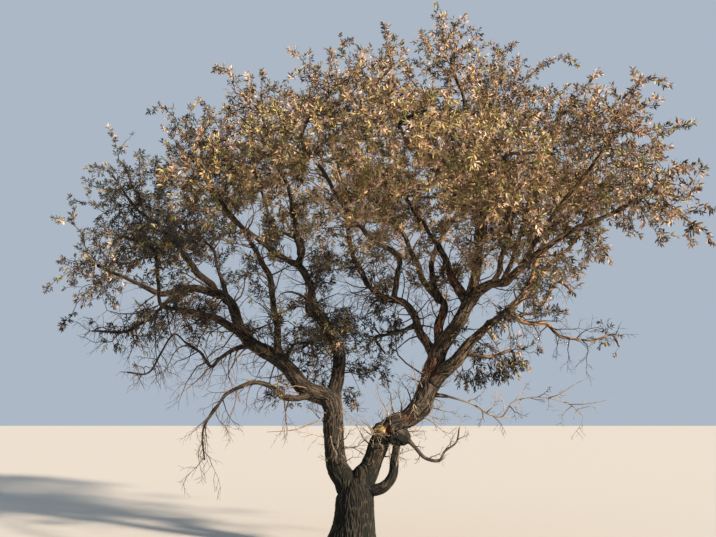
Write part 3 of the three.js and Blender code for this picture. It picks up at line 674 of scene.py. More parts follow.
def skinOver(name, tubes, voxel):
    bpy.ops.object.select_all(action="DESELECT")
    for tube in tubes:
        tube.select_set(True)
    bpy.context.view_layer.objects.active = tubes[0]
    if len(tubes) > 1:
        bpy.ops.object.join()
    skin = bpy.context.object
    skin.name = skin.data.name = name
    remesh = skin.modifiers.new("remesh", "REMESH")
    remesh.mode = "VOXEL"
    remesh.voxel_size = voxel
    bpy.ops.object.modifier_apply(modifier="remesh")
    smooth = skin.modifiers.new("smooth", "SMOOTH")
    smooth.factor, smooth.iterations = wood["smoothing"]
    bpy.ops.object.modifier_apply(modifier="smooth")
    bpy.ops.object.shade_smooth()
    return skin


# Bark: long ridges that part and join again round furrows.

bark = {
    "furrowWidth": 0.024,  # from the middle of one furrow to the next
    "furrowLength": 7.5,  # against its width
    "depth": 0.07,  # against the radius
    "deepest": 0.01,
    "edge": (0.0, 0.26),  # how the side of a ridge falls away
    "wander": (0.9, 0.55),  # how far furrows stray, in their widths, and how many bends to a furrow
    "bumps": 0.05,  # the swellings under the bark, against the radius
    "bumpWidth": (0.09, 0.5),  # in metres, and against the radius
    "grit": (2.7, 0.2),  # on the ridges: how many to a furrow, and how high against one
    "shallowest": 0.0008,
    "seam": 0.012,  # how wide the furrow is where two limbs meet
    "foot": 0.002,  # points lower than this are the flat cut at the ground
    "young": (0.022, 0.075),  # limbs slimmer than the first have young bark, and past the second old bark
    "knots": (1.25, 0.5, 0.1),  # how far the burl and the shoulder reach, and how much darker each is
    "cut": ((300, -150, 1455), 78),  # an old cut end, bare and pale: (place, reach)
    "warm": (  # reddish places, partly bark peeled to its inner layer and partly painted sunlight: (place, reach)
        ((400, -150, 1440), 70),
        ((400, -60, 1146), 110),
        ((541, -250, 1793), 170),
        ((673, -200, 1605), 110),
        ((848, -250, 2207), 230),
        ((-652, 850, 3063), 120),
        ((1500, -500, 2700), 260),
        ((994, 0, 2722), 300),
        ((1210, 0, 3320), 280),
    ),
}


def scattered(cell, salt):
    n = (cell[..., 0] * 73856093) ^ (cell[..., 1] * 19349663) ^ (cell[..., 2] * 83492791) ^ (salt * 7919)
    n &= 0xFFFFFFFF
    n = ((n ^ (n >> 13)) * 1274126177) & 0xFFFFFFFF
    return ((n ^ (n >> 16)) & 0xFFFF) / 65535


def smoothNoise(points, salt=1):
    # from -1 to 1
    cell = np.floor(points).astype(np.int64)
    f = points - cell
    f = f * f * (3 - 2 * f)
    total = np.zeros(len(points))
    for corner in range(8):
        step = np.array((corner & 1, corner >> 1 & 1, corner >> 2 & 1))
        weight = np.where(step, f, 1 - f).prod(1)
        total += weight * scattered(cell + step, salt)
    return total * 2 - 1


def ridges(points):
    # 0 in a furrow and 1 on a ridge
    stray, bends = bark["wander"]
    points = points + stray * np.stack([smoothNoise(points * bends, salt) for salt in (3, 5, 9)], 1)
    cell = np.floor(points).astype(np.int64)
    first = np.full(len(points), 9.0)
    second = first.copy()
    for k in range(27):
        step = np.array((k % 3, k // 3 % 3, k // 9)) - 1
        near = cell + step
        site = near + np.stack([scattered(near, salt) for salt in (11, 17, 23)], 1)
        gap = lengths(points - site)
        closer = gap < first
        second = np.where(closer, first, np.minimum(second, gap))
        first = np.where(closer, gap, first)
    return 1 - smoothStep(second - first, *bark["edge"])


def onLimbs(co, names):
    # for each point: how far along a limb it lies, the way out from the middle, the radius there, which limb,
    # and how much farther off the next limb is
    count = len(co)
    best, second = np.full(count, 9.0), np.full(count, 9.0)
    run, radius, owner = np.zeros(count), np.full(count, 0.02), np.zeros(count, int)
    out = np.zeros((count, 2))
    for order, name in enumerate(names):
        path = paths[name]
        reach = 1.7 * path["radius"].max() + 0.1
        low, high = path["centre"].min(0) - reach, path["centre"].max(0) + reach
        near = np.flatnonzero(((co > low) & (co < high)).all(1))
        a = path["centre"][:-1].astype(np.float32)
        way = np.diff(path["centre"], axis=0).astype(np.float32)
        for part in np.array_split(near, max(1, len(near) // 20000)):
            if len(part) == 0:
                continue
            gap = co[part][:, None].astype(np.float32) - a
            t = np.clip((gap * way).sum(2) / (way * way).sum(1), 0, 1)
            gap -= t[..., None] * way
            score = lengths(gap) - (path["radius"][:-1] + t * np.diff(path["radius"]))
            i = score.argmin(1)
            rows = np.arange(len(part))
            s, t, gap = score[rows, i], t[rows, i], gap[rows, i]
            better = s < best[part]
            second[part] = np.where(better, best[part], np.minimum(second[part], s))
            chosen = part[better]
            i, t, gap = i[better], t[better], gap[better]
            best[chosen] = s[better]
            run[chosen] = path["run"][i] + t * np.diff(path["run"])[i]
            radius[chosen] = path["radius"][i]
            out[chosen] = np.c_[(gap * path["side"][i]).sum(1), (gap * path["over"][i]).sum(1)]
            owner[chosen] = order
    return run, unit(out), radius, owner, second - best


def giveBark(piece, names):
    mesh = piece.data
    co, normal = (readPoints(mesh, label).astype(float) for label in ("co", "normal"))
    run, out, radius, owner, apart = onLimbs(co, names)
    place = np.c_[out * radius[:, None], run / bark["furrowLength"]]
    shift = np.array([sum(map(ord, name)) % 97 for name in names])[owner] * 3.7
    cells = place / bark["furrowWidth"] + np.c_[shift, shift * 0.3, shift]
    ridge = ridges(cells) * smoothStep(apart, 0.0, bark["seam"])  # two limbs meet in a furrow
    grits, gritHeight = bark["grit"]
    depth = np.minimum(bark["deepest"], bark["depth"] * radius + bark["shallowest"])
    height = depth * (ridge - 0.5 + gritHeight * smoothNoise(cells * grits, 31))
    least, wider = bark["bumpWidth"]
    height += bark["bumps"] * radius * smoothNoise(co / (least + wider * radius[:, None]), 41)
    foot = co[:, 2] < bark["foot"]
    moved = co + normal * height[:, None]
    moved[:, 2] = np.where(foot, co[:, 2], np.maximum(moved[:, 2], 0))
    if foot.any() and "trunk" in names:
        flat = foot & (np.abs(normal[:, 2]) > 0.98)
        moved[flat] = co[flat]
        moved[foot, 2] = 0
    writePoints(mesh, moved)
    # reddish places: peeled bark, and painted sunlight
    warm = np.max([nearness(co, *spot) for spot in bark["warm"]], axis=0)
    cut = nearness(co, *bark["cut"], 4)
    slim = 1 - smoothStep(radius, *bark["young"])
    reach, *shades = bark["knots"]
    for (place, size), shade in zip(wood["knots"], shades):
        knot = nearness(co, place, reach * size[2], 4)
        slim *= 1 - knot
        ridge *= 1 - shade * knot
    addAttributes(mesh, {"ridge": ridge, "warm": warm, "slim": slim, "cut": cut})
    grain = mesh.attributes.new("grain", "FLOAT_VECTOR", "POINT")
    grain.data.foreach_set("vector", (cells * bark["furrowWidth"]).astype(np.float32).ravel())
    mesh.update()
    print("bark on", piece.name, len(mesh.vertices), "points")


def childrenOf(names):
    return [n for n, path in paths.items() if path.get("parent") in names and n not in names]


forked = ("left_bough", "right_bough")  # the two that run on from the trunk's fork
woodPieces = {}
for pieceName, plan in wood["pieces"].items():
    tubes, names = [], list(plan["limbs"])
    if pieceName == "trunk_wood":
        names = ["trunk"]
        tubes.append(modelTrunk())
    for name in plan["limbs"]:
        path = paths[name]
        inside = path["parent"] in plan["limbs"]
        begin = 0 if inside else max(0.0, path["parentRadius"] + wood["stub"] - wood["overlap"])
        if name in forked:
            begin = wood["forkEnds"][0]
        tubes.append(tubeFor(name, begin, collar=inside))
    if "right_bough" in plan["limbs"]:
        tubes += [modelBurl(*knot) for knot in wood["knots"]]
    for child in childrenOf(names):
        end = wood["forkEnds"][1] if child in forked else paths[child]["parentRadius"] + wood["stub"]
        tubes.append(tubeFor(child, 0, end, collar=child not in forked, taper=True))
        names.append(child)
    skin = skinOver(pieceName, tubes, plan["voxel"])
    if pieceName == "trunk_wood":
        bpy.ops.object.mode_set(mode="EDIT")
        bpy.ops.mesh.select_all(action="SELECT")
        bpy.ops.mesh.bisect(plane_co=(0, 0, 0), plane_no=(0, 0, 1), clear_inner=True, use_fill=True)
        bpy.ops.object.mode_set(mode="OBJECT")
    giveBark(skin, names)
    woodPieces[pieceName] = skin


def ringTube(name, sides, back=0.0, tone=0.5, share=1.0):
    # a slim limb as rings, drawn back a little into what it grows from, and darker there
    path = paths[name]
    centre, radius = path["centre"], path["radius"] * share
    tone = tone * smoothStep(path["run"], -0.02, 0.4)[None] if not back else tone
    if back:
        centre = np.vstack((centre[0] - path["heading"][0] * back, centre))
        radius = np.concatenate((radius[:1], radius))
    return centre[None], radius[None], sides, tone


slenderNames = list(wood["slender"])
stemNames = ["stem_" + name for name in masses]
slender = joinTubes(
    "slender_wood",
    [ringTube(name, 14) for name in slenderNames] + [ringTube(name, 9, 0.05) for name in stemNames],
)
giveBark(slender, slenderNames + stemNames)
woodPieces["slender_wood"] = slender

# Foliage: shoots, sprays and leaves.

crown = {
    "shoots": 120,  # in a mass of full size
    "fullSize": 0.70,
    "shells": ((0.32, 0.95), (0.30, 0.78), (0.22, 0.58), (0.16, 0.36)),  # (share of the shoots, depth)
    "rim": (0.78, 1.3, 0.38),  # past this share of its mass, clear of others grown by this, a share is kept
    "pathWeight": 0.12,  # what the way back along the wood costs, against the way through the air
    "turnCost": 0.07,  # what a full turn back costs, in metres
    "shortest": 0.07,  # no shoot is shorter
    "stemShare": 0.25,  # no shoot leaves the first part of the stem
    "rise": 0.08,
    "pull": ((0.2, 0.16), (0.66, 0.05)),  # of a shoot's curve: (share along, lead on), (share along, stray)
    "wander": 0.016,
    "drawnIn": (1, 0.86, 0.72),  # how far in a shoot's end is drawn to find room
    "reach": 0.96,  # how far out leaves may stand, as a share of the mass's size
    "sprayGap": 0.0275,
    "sprayLength": (0.075, 0.155),
    "sprayShrink": (1.05, 0.35),  # the length's share at a shoot's foot, and how much less at its tip
    "sprayCrowded": 0.5,  # how short a spray gets where it would leave the mass
    "sprayOverrun": 0.04,  # how far it may reach into the space of the next mass
    "sprayLift": 0.4,
    "bareSprays": 0.7,  # share of the sprays on shoots without leaves
    "sprayTilt": (50, 9),
    "sprayFrom": 0.2,  # where on a shoot the sprays begin
    "sprayBend": 0.09,
    "sprayRadii": (0.0026, 0.0021, 0.0012),
    "sprigReach": 0.32,  # sprays this near to the tip of a sprig may stand outside the mass
    "leavesPerSpray": 10,
    "leafLength": (0.040, 0.072),
    "leafWidth": 0.28,
    "leafVaries": (0.85, 0.3),  # the narrowest against that, and how much wider the widest is
    "leafTilt": (64, 20, 10),  # at the foot of a spray, at its tip, and how much it varies
    "leafFrom": 0.25,  # where on a spray the leaves begin
    "leafDroop": 0.35,
    "leafRoll": (0.4, 0.8),  # how much leaves face up, and how much any way
    "lastLeaf": 0.22,  # how much shorter the last leaf of a spray is
    "sprayTone": 0.4,  # share of a leaf's tone that its whole spray has
    "tipRadius": 0.0016,
    "pipePower": 0.42,
    "pipeShares": (1, 0.85, 0.65, 0.45, 0.28, 0.12),  # of a shoot's own load, from its foot to its tip
    "thickest": 0.016,
}

# Shoots that stand out past the rest, by their tips.
sprigs = {
    "left_crest": (
        (-3858, 1500, 5990), (-3387, 1200, 5735), (-4220, 1700, 5406), (-3090, 1500, 5380),
        (-3330, 1500, 5560), (-3570, 1300, 5550), (-3250, 1300, 5470), (-2980, 1200, 5330),
        (-4020, 1300, 4900),
    ),
    "left_tip": (
        (-4280, 900, 4367), (-4100, 900, 4665), (-3960, 800, 4560), (-4230, 700, 3289), (-3909, 500, 2717),
    ),
    "left_shoulder": ((-2901, 500, 5808), (-2691, 400, 5823)),
    "crest_left": ((-1862, -100, 6140), (-1608, -300, 6008), (-1229, -200, 6031)),
    "crest_middle": ((-928, 400, 6700), (-660, 400, 6690), (-205, 350, 6860), (-60, 400, 6850)),
    "crest_centre": ((365, -800, 6386), (482, -900, 6150)),
    "peak": ((1035, -400, 6890), (1150, -300, 6760), (857, -600, 6378)),
    "crown_right": (
        (2005, 500, 6810), (2273, 400, 6810), (2550, 400, 6370), (2767, 300, 6500), (3033, 100, 6333),
    ),
    "right_crest": ((2980, -900, 5698), (2824, -900, 5541)),
    "right_top": ((3093, -1600, 5325), (3241, -1600, 5242), (3446, -1600, 5194), (3604, -1700, 4681)),
    "right_tip": ((3501, -2000, 4098), (3598, -2000, 3655), (3492, -2100, 3300), (3232, -2200, 3215)),
}

leafKinds = ("tan", "silver", "olive", "fresh", "umber", "slate")
# The shares of these in a mass, by its tint. They are dealt out spray by spray. The grey deal, mostly dark
# slate and umber leaves, is painted shade for masses in the shade of the crown.
deals = {
    "tan": (0.32, 0.23, 0.16, 0.05, 0.18, 0.06),
    "olive": (0.32, 0.15, 0.30, 0.09, 0.14, 0.0),
    "grey": (0.05, 0.03, 0.14, 0.03, 0.21, 0.54),
}
shadedSide = {"from": (1.0, 3.0), "share": 0.6}  # metres left of the trunk, and how much of the grey deal comes in there, as painted shade


def around(heading, angle, tilt):
    # directions that lean from the heading by a tilt, at an angle round it
    side = unit(np.cross(heading, skew))
    over = np.cross(heading, side)
    lean = side * np.cos(angle)[:, None] + over * np.sin(angle)[:, None]
    return heading * np.cos(tilt)[:, None] + lean * np.sin(tilt)[:, None]


def turnedFrom(ways, tilts, random):
    # directions that lean from the ways at any angle, by a tilt in degrees within the bounds
    angle = random.uniform(0, 6, len(ways))
    return around(unit(ways), angle, np.radians(random.uniform(*tilts, len(ways))))


def sizesOut(points, mass):
    # how far out of a mass points lie, where 1 is its surface
    return lengths((points - mass["centre"]) / mass["half"])


def onRim(name, points):
    share, grown, _ = crown["rim"]
    others = [sizesOut(points, mass) for other, mass in masses.items() if other != name]
    return (sizesOut(points, masses[name]) > share) & (np.min(others, axis=0) > grown)


def shellEnds(name, mass, random):
    # where the shoots of a mass end: golden spirals in shells, drawn in where they would leave its own space
    centre = mass["centre"]
    half = mass["half"]
    turn = turnedTo(unit(centre - np.array(stemRule["crownHeart"]) * mm))
    total = crown["shoots"] * (mass["size"] / crown["fullSize"]) ** 2 * mass["more"]
    ends = []
    for share, depth in crown["shells"]:
        count = max(3, round(total * share))
        i = np.arange(count)
        height = 1 - 2 * (i + 0.5) / count
        ring = np.sqrt(1 - height**2)
        angle = i * goldenAngle + random.uniform(0, 6) + random.uniform(-0.3, 0.3, count)
        out = np.c_[ring * np.cos(angle), ring * np.sin(angle), height] @ turn.T
        reach = depth * random.uniform(0.84, 1.04, count)[:, None]
        left = np.ones(count, bool)
        for pull in crown["drawnIn"]:
            points = centre + out * half * reach * pull
            fits = left & inOwnSpace(name, points, crown["reach"])
            ends.append(points[fits])
            left &= ~fits
    ends = np.vstack(ends)
    ends = ends[~onRim(name, ends) | (random.random(len(ends)) < crown["rim"][2])]
    return np.vstack((ends, np.array(sprigs[name]) * mm)) if name in sprigs else ends


def growShoots(name, mass, random):
    # each shoot leaves the wood that is already there, where that makes the shortest way back to the limb
    stem = paths["stem_" + name]
    rings = len(crown["pipeShares"])
    inside = stem["run"] > crown["stemShare"] * stem["run"][-1]
    at, back, heading = stem["centre"][inside], stem["run"][inside], stem["heading"][inside]
    owner = np.full(len(at), -1)
    index = np.arange(len(at))
    ends = shellEnds(name, mass, random)
    near = lengths(ends[:, None] - at).min(1)
    shoots, roots = [], []
    for end in ends[np.argsort(near)]:
        way = end - at
        gap = lengths(way)
        turn = (way * heading).sum(1) / gap
        cost = gap + crown["pathWeight"] * back + crown["turnCost"] * (1 - turn)
        i = int(cost.argmin())
        if gap[i] < crown["shortest"]:
            continue
        start, span = at[i], gap[i]
        (first, lead), (second, stray) = crown["pull"]
        p1 = start + way[i] * first + heading[i] * span * lead + up * crown["rise"] * span
        p2 = start + way[i] * second + up * crown["rise"] * 1.3 * span + random.normal(0, stray, 3) * span
        t = np.linspace(0, 1, rings)[:, None]
        points = bezier(start, p1, p2, end, t)
        points[1:-1] += random.normal(0, crown["wander"], (rings - 2, 3)) * span
        shoots.append(points)
        roots.append((owner[i], index[i]))
        at = np.vstack((at, points[1:]))
        heading = np.vstack((heading, unit(np.gradient(points, axis=0))[1:]))
        steps = np.cumsum(lengths(np.diff(points, axis=0)))
        back = np.concatenate((back, back[i] + steps))
        owner = np.concatenate((owner, np.full(rings - 1, len(shoots) - 1)))
        index = np.concatenate((index, np.arange(1, rings)))
    shoots = np.array(shoots)
    # the pipe rule: a shoot is as thick as all the tips beyond it ask
    load = np.zeros((len(shoots), rings))
    length = lengths(np.diff(shoots, axis=1)).sum(1)
    own = length / crown["sprayGap"]
    for i in range(len(shoots) - 1, -1, -1):
        load[i] += own[i] * np.array(crown["pipeShares"]) + 1
        parent, place = roots[i]
        if parent >= 0:
            load[parent, : place + 1] += load[i, 0]
    radii = np.minimum(crown["tipRadius"] * load ** crown["pipePower"], crown["thickest"])
    return shoots, radii, length


def growSprays(name, shoots, length, leafy, lift, random):
    # side twigs round each shoot at the golden angle, the last one running straight on
    longest, less = crown["sprayShrink"]
    bases, headings, angles, tilts, spans = [], [], [], [], []
    legs = shoots.shape[1] - 1
    for points, span in zip(shoots, length):
        count = max(2, round(span * (1 - crown["sprayFrom"]) / crown["sprayGap"]))
        t = np.linspace(crown["sprayFrom"], 1, count) * legs
        i = np.minimum(t.astype(int), legs - 1)
        bases.append(points[i] + (points[i + 1] - points[i]) * (t - i)[:, None])
        headings.append(unit(points[i + 1] - points[i]))
        angles.append(random.uniform(0, 6) + np.arange(count) * goldenAngle)
        middling, spread = crown["sprayTilt"]
        tilt = np.radians(middling + random.normal(0, spread, count))
        tilt[-1] = 0.1
        tilts.append(tilt)
        spans.append(random.uniform(*crown["sprayLength"], count) * (longest - less * t / legs))
    base, heading, span = np.vstack(bases), np.vstack(headings), np.concatenate(spans)
    way = unit(around(heading, np.concatenate(angles), np.concatenate(tilts)) + up * lift)
    fits = span > 0
    if name in masses:
        room = crown["reach"], -crown["sprayOverrun"]
        fits = inOwnSpace(name, base + way * span[:, None], *room)
        span = np.where(fits, span, span * crown["sprayCrowded"])
        fits = inOwnSpace(name, base + way * span[:, None], *room)
    if name in sprigs:
        tips = np.array(sprigs[name]) * mm
        fits |= lengths(base[:, None] - tips).min(1) < crown["sprigReach"]
    keep = fits & (random.random(len(span)) < leafy)
    base, way, span = base[keep], way[keep], span[keep]
    bend = random.normal(0, crown["sprayBend"], base.shape) * span[:, None]
    middle = base + way * span[:, None] * 0.5 + bend
    end = base + way * span[:, None] + up * lift * span[:, None] * crown["sprayLift"]
    return np.stack((base, middle, end), 1)


def growLeaves(sprays, lift, random):
    # leaves round each spray, hanging a little
    count = crown["leavesPerSpray"]
    share = np.linspace(0, 1, count)
    n = len(sprays)
    foot = crown["leafFrom"]
    t = np.clip(foot + (1 - foot) * share + random.normal(0, 0.03, (n, count)), 0.05, 1) * 2
    i = np.minimum(t.astype(int), 1)
    rows = np.arange(n)[:, None]
    low, high = sprays[rows, i], sprays[rows, i + 1]
    base = (low + (high - low) * (t - i)[..., None]).reshape(-1, 3)
    heading = unit(high - low).reshape(-1, 3)
    angle = (random.uniform(0, 6, (n, 1)) + np.arange(count) * goldenAngle).ravel()
    first, last, varies = crown["leafTilt"]
    tilt = np.radians(first + (last - first) * share**1.4 + random.normal(0, varies, (n, count))).ravel()
    along = around(heading, angle, tilt)
    along[:, 2] -= random.uniform(0, crown["leafDroop"], len(along)) - 0.3 * lift
    along = unit(along)
    upward, anyway = crown["leafRoll"]
    facing = unit(up * upward + random.normal(0, anyway, along.shape))
    facing = unit(facing - along * (facing * along).sum(1, keepdims=True))
    size = random.uniform(*crown["leafLength"], len(along)) * (1 - crown["lastLeaf"] * np.tile(share == 1, n))
    shared = crown["sprayTone"]
    tone = np.repeat(random.random(n), count) * shared + random.random(len(along)) * (1 - shared)
    return base, along, facing, size, tone


leafShape = {
    # (along, across, rise) in shares of the length, the width and the width
    "points": (
        (0, 0, 0), (0.32, -0.5, 0.24), (0.32, 0.5, 0.12), (0.7, -0.38, 0.12), (0.7, 0.38, 0.2), (1, 0, -0.25),
    ),
    "faces": ((0, 2, 1), (1, 2, 4), (1, 4, 3), (3, 4, 5)),
}


def leafMesh(name, base, along, facing, size, tone):
    points, faces = np.array(leafShape["points"]), np.array(leafShape["faces"])
    side = np.cross(facing, along)
    narrowest, more = crown["leafVaries"]
    width = size * crown["leafWidth"] * (narrowest + more * ((tone * 7) % 1))
    verts = base[:, None] + along[:, None] * (points[:, 0] * size[:, None])[..., None]
    verts = verts + side[:, None] * (points[:, 1] * width[:, None])[..., None]
    verts = verts + facing[:, None] * (points[:, 2] * width[:, None])[..., None]
    tris = (np.arange(len(base)) * len(points))[:, None, None] + faces
    uv = np.tile(np.c_[points[:, 1] + 0.5, points[:, 0]], (len(base), 1))
    tones = {"tone": np.repeat(tone, len(points))}
    return meshFrom(name, verts.reshape(-1, 3), [tris.reshape(-1, 3)], tones, uv)


halves = ("left", "right")
leafGroups = {(kind, half): [] for kind in leafKinds for half in halves}
leafMasses = {key: set() for key in leafGroups}
twigGroups = {half: [] for half in halves}
sprayGroups = {half: [] for half in halves}
twigMasses = {half: [] for half in halves}


def halfOf(x):
    return halves[0] if x < 0 else halves[1]


def dealLeaves(name, tint, sprays, lift, random):
    # painted shade: sprays left of the trunk get more of the grey deal
    shadedShare = smoothStep(-sprays[:, 0, 0], *shadedSide["from"])[:, None] * shadedSide["share"]
    usual, grey = (np.array(deals[key]) / sum(deals[key]) for key in (tint, "grey"))
    share = np.cumsum(usual * (1 - shadedShare) + grey * shadedShare, axis=1)
    kind = (random.random(len(sprays))[:, None] > share[:, :-1]).sum(1)
    half = halfOf(sprays[:, 0, 0].mean())
    for k, label in enumerate(leafKinds):
        dealt = sprays[kind == k]
        if len(dealt):
            leafGroups[label, half].append(growLeaves(dealt, lift, random))
            leafMasses[label, half].add(name)


def sprayTubes(sprays):
    return sprays, np.tile(crown["sprayRadii"], (len(sprays), 1)), 3, 0.5


for name, mass in masses.items():
    random = streamFor(name)
    shoots, radii, length = growShoots(name, mass, random)
    leafed = random.random(len(shoots)) >= mass["bare"]
    sprays = growSprays(name, shoots[leafed], length[leafed], mass["leafy"], mass["lift"], random)
    half = halfOf(mass["centre"][0])
    twigGroups[half].append((shoots, radii, 4, 0.5))
    sprayGroups[half].append(sprayTubes(sprays))
    twigMasses[half].append(name)
    if not leafed.all():
        bare = shoots[~leafed], length[~leafed], crown["bareSprays"]
        twiglets = growSprays(name, *bare, mass["lift"], random)
        sprayGroups[half].append(sprayTubes(twiglets))
    dealLeaves(name, mass["tint"], sprays, mass["lift"], random)
    print(name, len(shoots), "shoots", len(sprays), "sprays")
print("foliage grown:", sum(len(g[0]) for groups in leafGroups.values() for g in groups), "leaves")

# Small twigs along the boughs, most of them dead.

sideTwigs = (
    # limb, from and to in shares of its points, count, length, lift, share with leaves, whether dead
    ("low_arch", 0.12, 0.98, 26, 0.5, -0.5, 0.0),
    ("crooked_arm", 0.1, 0.98, 20, 0.6, -0.4, 0.05),
    ("left_bough", 0.09, 0.27, 22, 0.42, 0.0, 0.0, "dead"),
    ("left_bough", 0.3, 0.8, 40, 0.62, 0.05, 0.16),
    ("left_bough", 0.45, 0.9, 15, 0.95, -0.5, 0.0),
    ("left_lower_bough", 0.2, 1, 18, 0.6, -0.1, 0.15),
    ("left_skirt_bough", 0.1, 1, 18, 0.95, -0.4, 0.06),
    ("left_riser", 0.2, 0.95, 26, 0.55, 0.1, 0.14),
    ("left_arm", 0.1, 0.9, 18, 0.5, 0.3, 0.3),
    ("left_crest_bough", 0.2, 0.95, 14, 0.5, 0.2, 0.5),
    ("middle_bough", 0.14, 0.5, 34, 0.65, -0.15, 0.04),
    ("middle_bough", 0.06, 0.3, 13, 0.6, -0.1, 0.85),
    ("middle_bough", 0.3, 0.75, 28, 0.65, 0.1, 0.2),
    ("crest_left_bough", 0.1, 0.9, 14, 0.5, 0.3, 0.9),
    ("inner_bough", 0.1, 0.45, 36, 0.6, -0.1, 0.1),
    ("inner_bough", 0.3, 0.8, 42, 0.65, 0.15, 0.2),
    ("inner_front_bough", 0.1, 0.9, 20, 0.5, 0.1, 0.3),
    ("right_bough", 0.1, 0.26, 34, 0.44, 0.35, 0.0, "dead"),
    ("right_bough", 0.25, 0.36, 16, 0.4, -0.1, 0.0, "dead"),
    ("right_bough", 0.42, 0.62, 13, 0.5, 0.1, 0.06),
    ("right_bough", 0.6, 0.97, 14, 0.5, 0.15, 0.3),
    ("right_bough", 0.8, 1, 10, 0.38, -0.2, 0.6),
    ("heart_bough", 0.1, 0.9, 16, 0.55, 0.2, 0.2),
    ("peak_bough", 0.06, 0.5, 20, 0.5, 0.1, 0.3),
    ("peak_bough", 0.5, 0.95, 14, 0.45, 0.1, 0.9),
    ("crown_front_bough", 0.2, 0.95, 14, 0.45, 0.1, 0.6),
    ("crest_centre_bough", 0.1, 0.95, 16, 0.45, 0.1, 0.9),
    ("crown_right_bough", 0.15, 0.95, 16, 0.5, 0.1, 0.9),
    ("right_crest_bough", 0.15, 0.95, 14, 0.45, 0.1, 0.9),
    ("right_top_bough", 0.2, 0.95, 12, 0.45, 0.1, 0.9),
    ("right_front_bough", 0.2, 0.95, 14, 0.45, 0.0, 0.4),
    ("right_wing_bough", 0.2, 0.95, 12, 0.5, 0.1, 0.15),
    ("rear_bough", 0.1, 0.8, 18, 0.55, 0.3, 0.25),
    ("right_arm", 0.2, 0.95, 8, 0.45, 0.0, 0.0),
    ("right_arm", 0.2, 0.42, 8, 0.5, -0.5, 0.75),
    ("right_arm", 0.45, 0.9, 6, 0.6, -0.5, 0.0),
    ("right_under_spur", 0.1, 1, 6, 0.6, -0.4, 0.0),
    ("right_under_spur", 0.55, 1, 4, 0.5, 0.3, 0.8),
    ("right_droop", 0.3, 1, 14, 0.45, -0.2, 0.0),
    ("rear_bough", 0.7, 1, 10, 0.95, 0.45, 1),
    ("right_rear_bough", 0.42, 1, 10, 0.95, 0.3, 1),
    ("middle_bough", 0.84, 1, 5, 0.9, 0.5, 1),
    ("left_crest_bough", 0.5, 1, 7, 0.85, 0.3, 1),
    ("stem_left_rear", 0, 0.55, 6, 0.9, 0.45, 1),
    ("inner_front_bough", 0.5, 1, 11, 0.92, 0.4, 1),
    ("crown_front_bough", 0.4, 1, 10, 0.85, 0.3, 1),
    ("right_front_bough", 0.55, 1, 6, 0.7, 0.3, 1),
    ("stem_left_front", 0, 0.5, 5, 0.8, 0.4, 1),
    ("right_wing_bough", 0.35, 1, 9, 0.65, 0.5, 1),
    ("side_shoot", 0.5, 1, 8, 0.3, 0.3, 0.0, "dead"),
    ("dead_branch", 0.25, 1, 18, 0.3, -0.1, 0.0, "dead"),
    ("dead_hook", 0.2, 1, 8, 0.26, 0.1, 0.0, "dead"),
)

# Single twigs with their own course: points, radius at the root, whether dead.
singleTwigs = (
    (((-690, 870, 3190), (-873, 800, 3279), (-1016, 720, 3237), (-1088, 660, 3117)), 22, False),
    (((-1088, 660, 3117), (-1130, 640, 3100), (-1175, 600, 3094), (-1250, 550, 3127)), 10, False),
    (((-960, 330, 2440), (-754, 240, 2430), (-545, 200, 2350), (-415, 150, 2334)), 14, False),
    (((-1064, 300, 2243), (-960, 200, 2099), (-920, 150, 2000), (-894, 100, 1884)), 8, True),
    (((470, -90, 1330), (388, -100, 1330), (303, -160, 1395), (218, -200, 1396)), 20, True),
    (((218, -200, 1396), (135, -240, 1363), (80, -262, 1330), (40, -280, 1284)), 12, True),
    (((218, -200, 1396), (170, -240, 1478), (125, -262, 1520), (87, -280, 1548)), 11, True),
    (((2243, -450, 1789), (2393, -470, 1858), (2565, -500, 1971), (2750, -520, 2051)), 7, True),
    (((2485, -480, 1709), (2667, -500, 1743), (2812, -520, 1765), (2946, -540, 1799)), 6, True),
    (((-330, 0, 1640), (-563, -100, 1499), (-734, -200, 1442), (-1030, -300, 1422)), 15, True),
    (((840, -130, 1850), (886, -150, 1780), (908, -250, 1652), (959, -300, 1479)), 8, True),
    (((615, -100, 2132), (535, -50, 2343), (515, 0, 2534), (482, 50, 2728)), 12, False),
)

twigs = {
    "wander": 0.24,
    "taper": 0.8,
    "tilt": (45, 80),
    "length": (0.5, 1.25),  # against the length in the table
    "radius": (0.0035, 0.011),  # at the root, and how much more for each metre
    "deadRadius": 1.4,  # against a living twig
    "tips": (0.0014, 0.0012, 0.001),  # radii of the twig, its forks and the finest ones
    "forks": (2, 3, 4, 5),  # the bends that they leave
    "forkTilt": (35, 60),
    "forkLength": (0.62, 0.07),  # against the twig, and how much less at each bend
    "forkRadius": 0.0032,
    "fineTilt": (30, 65),
    "fineLength": (0.1, 0.24),
    "fineRadius": 0.002,
    "foot": 0.7,  # how far out from the middle of its limb a twig begins
    "stoutest": 0.6,  # against its limb
    "sag": (0.22, 0.2),  # how much of the lift turns a twig, or a fork, at each bend
    "sprays": ((3, 0.5), (0, 0.35)),  # on a twig and on its forks: from which bend on, and against its length
    "sprayShare": 0.9,
    "single": (9, 0.003, 0.0016),  # single twigs thicker than this end in the first tip, others in the second
    "hidden": 0.8,  # where leaves are more than this, they would hide the finest twigs
    "shaded": (-1.6, 3.3),  # left of the first and below the second the leaves get the grey deal, as painted shade
}


def crookedPaths(starts, ways, spans, bends, sag, random):
    points = [starts]
    way = unit(ways)
    for _ in range(bends):
        way = unit(way + random.normal(0, twigs["wander"], way.shape) + up * sag)
        points.append(points[-1] + way * (spans / bends)[:, None])
    return np.stack(points, 1)


def taperTo(points, root, tip):
    share = np.linspace(0, 1, points.shape[1]) ** twigs["taper"]
    return root[:, None] + (tip - root[:, None]) * share


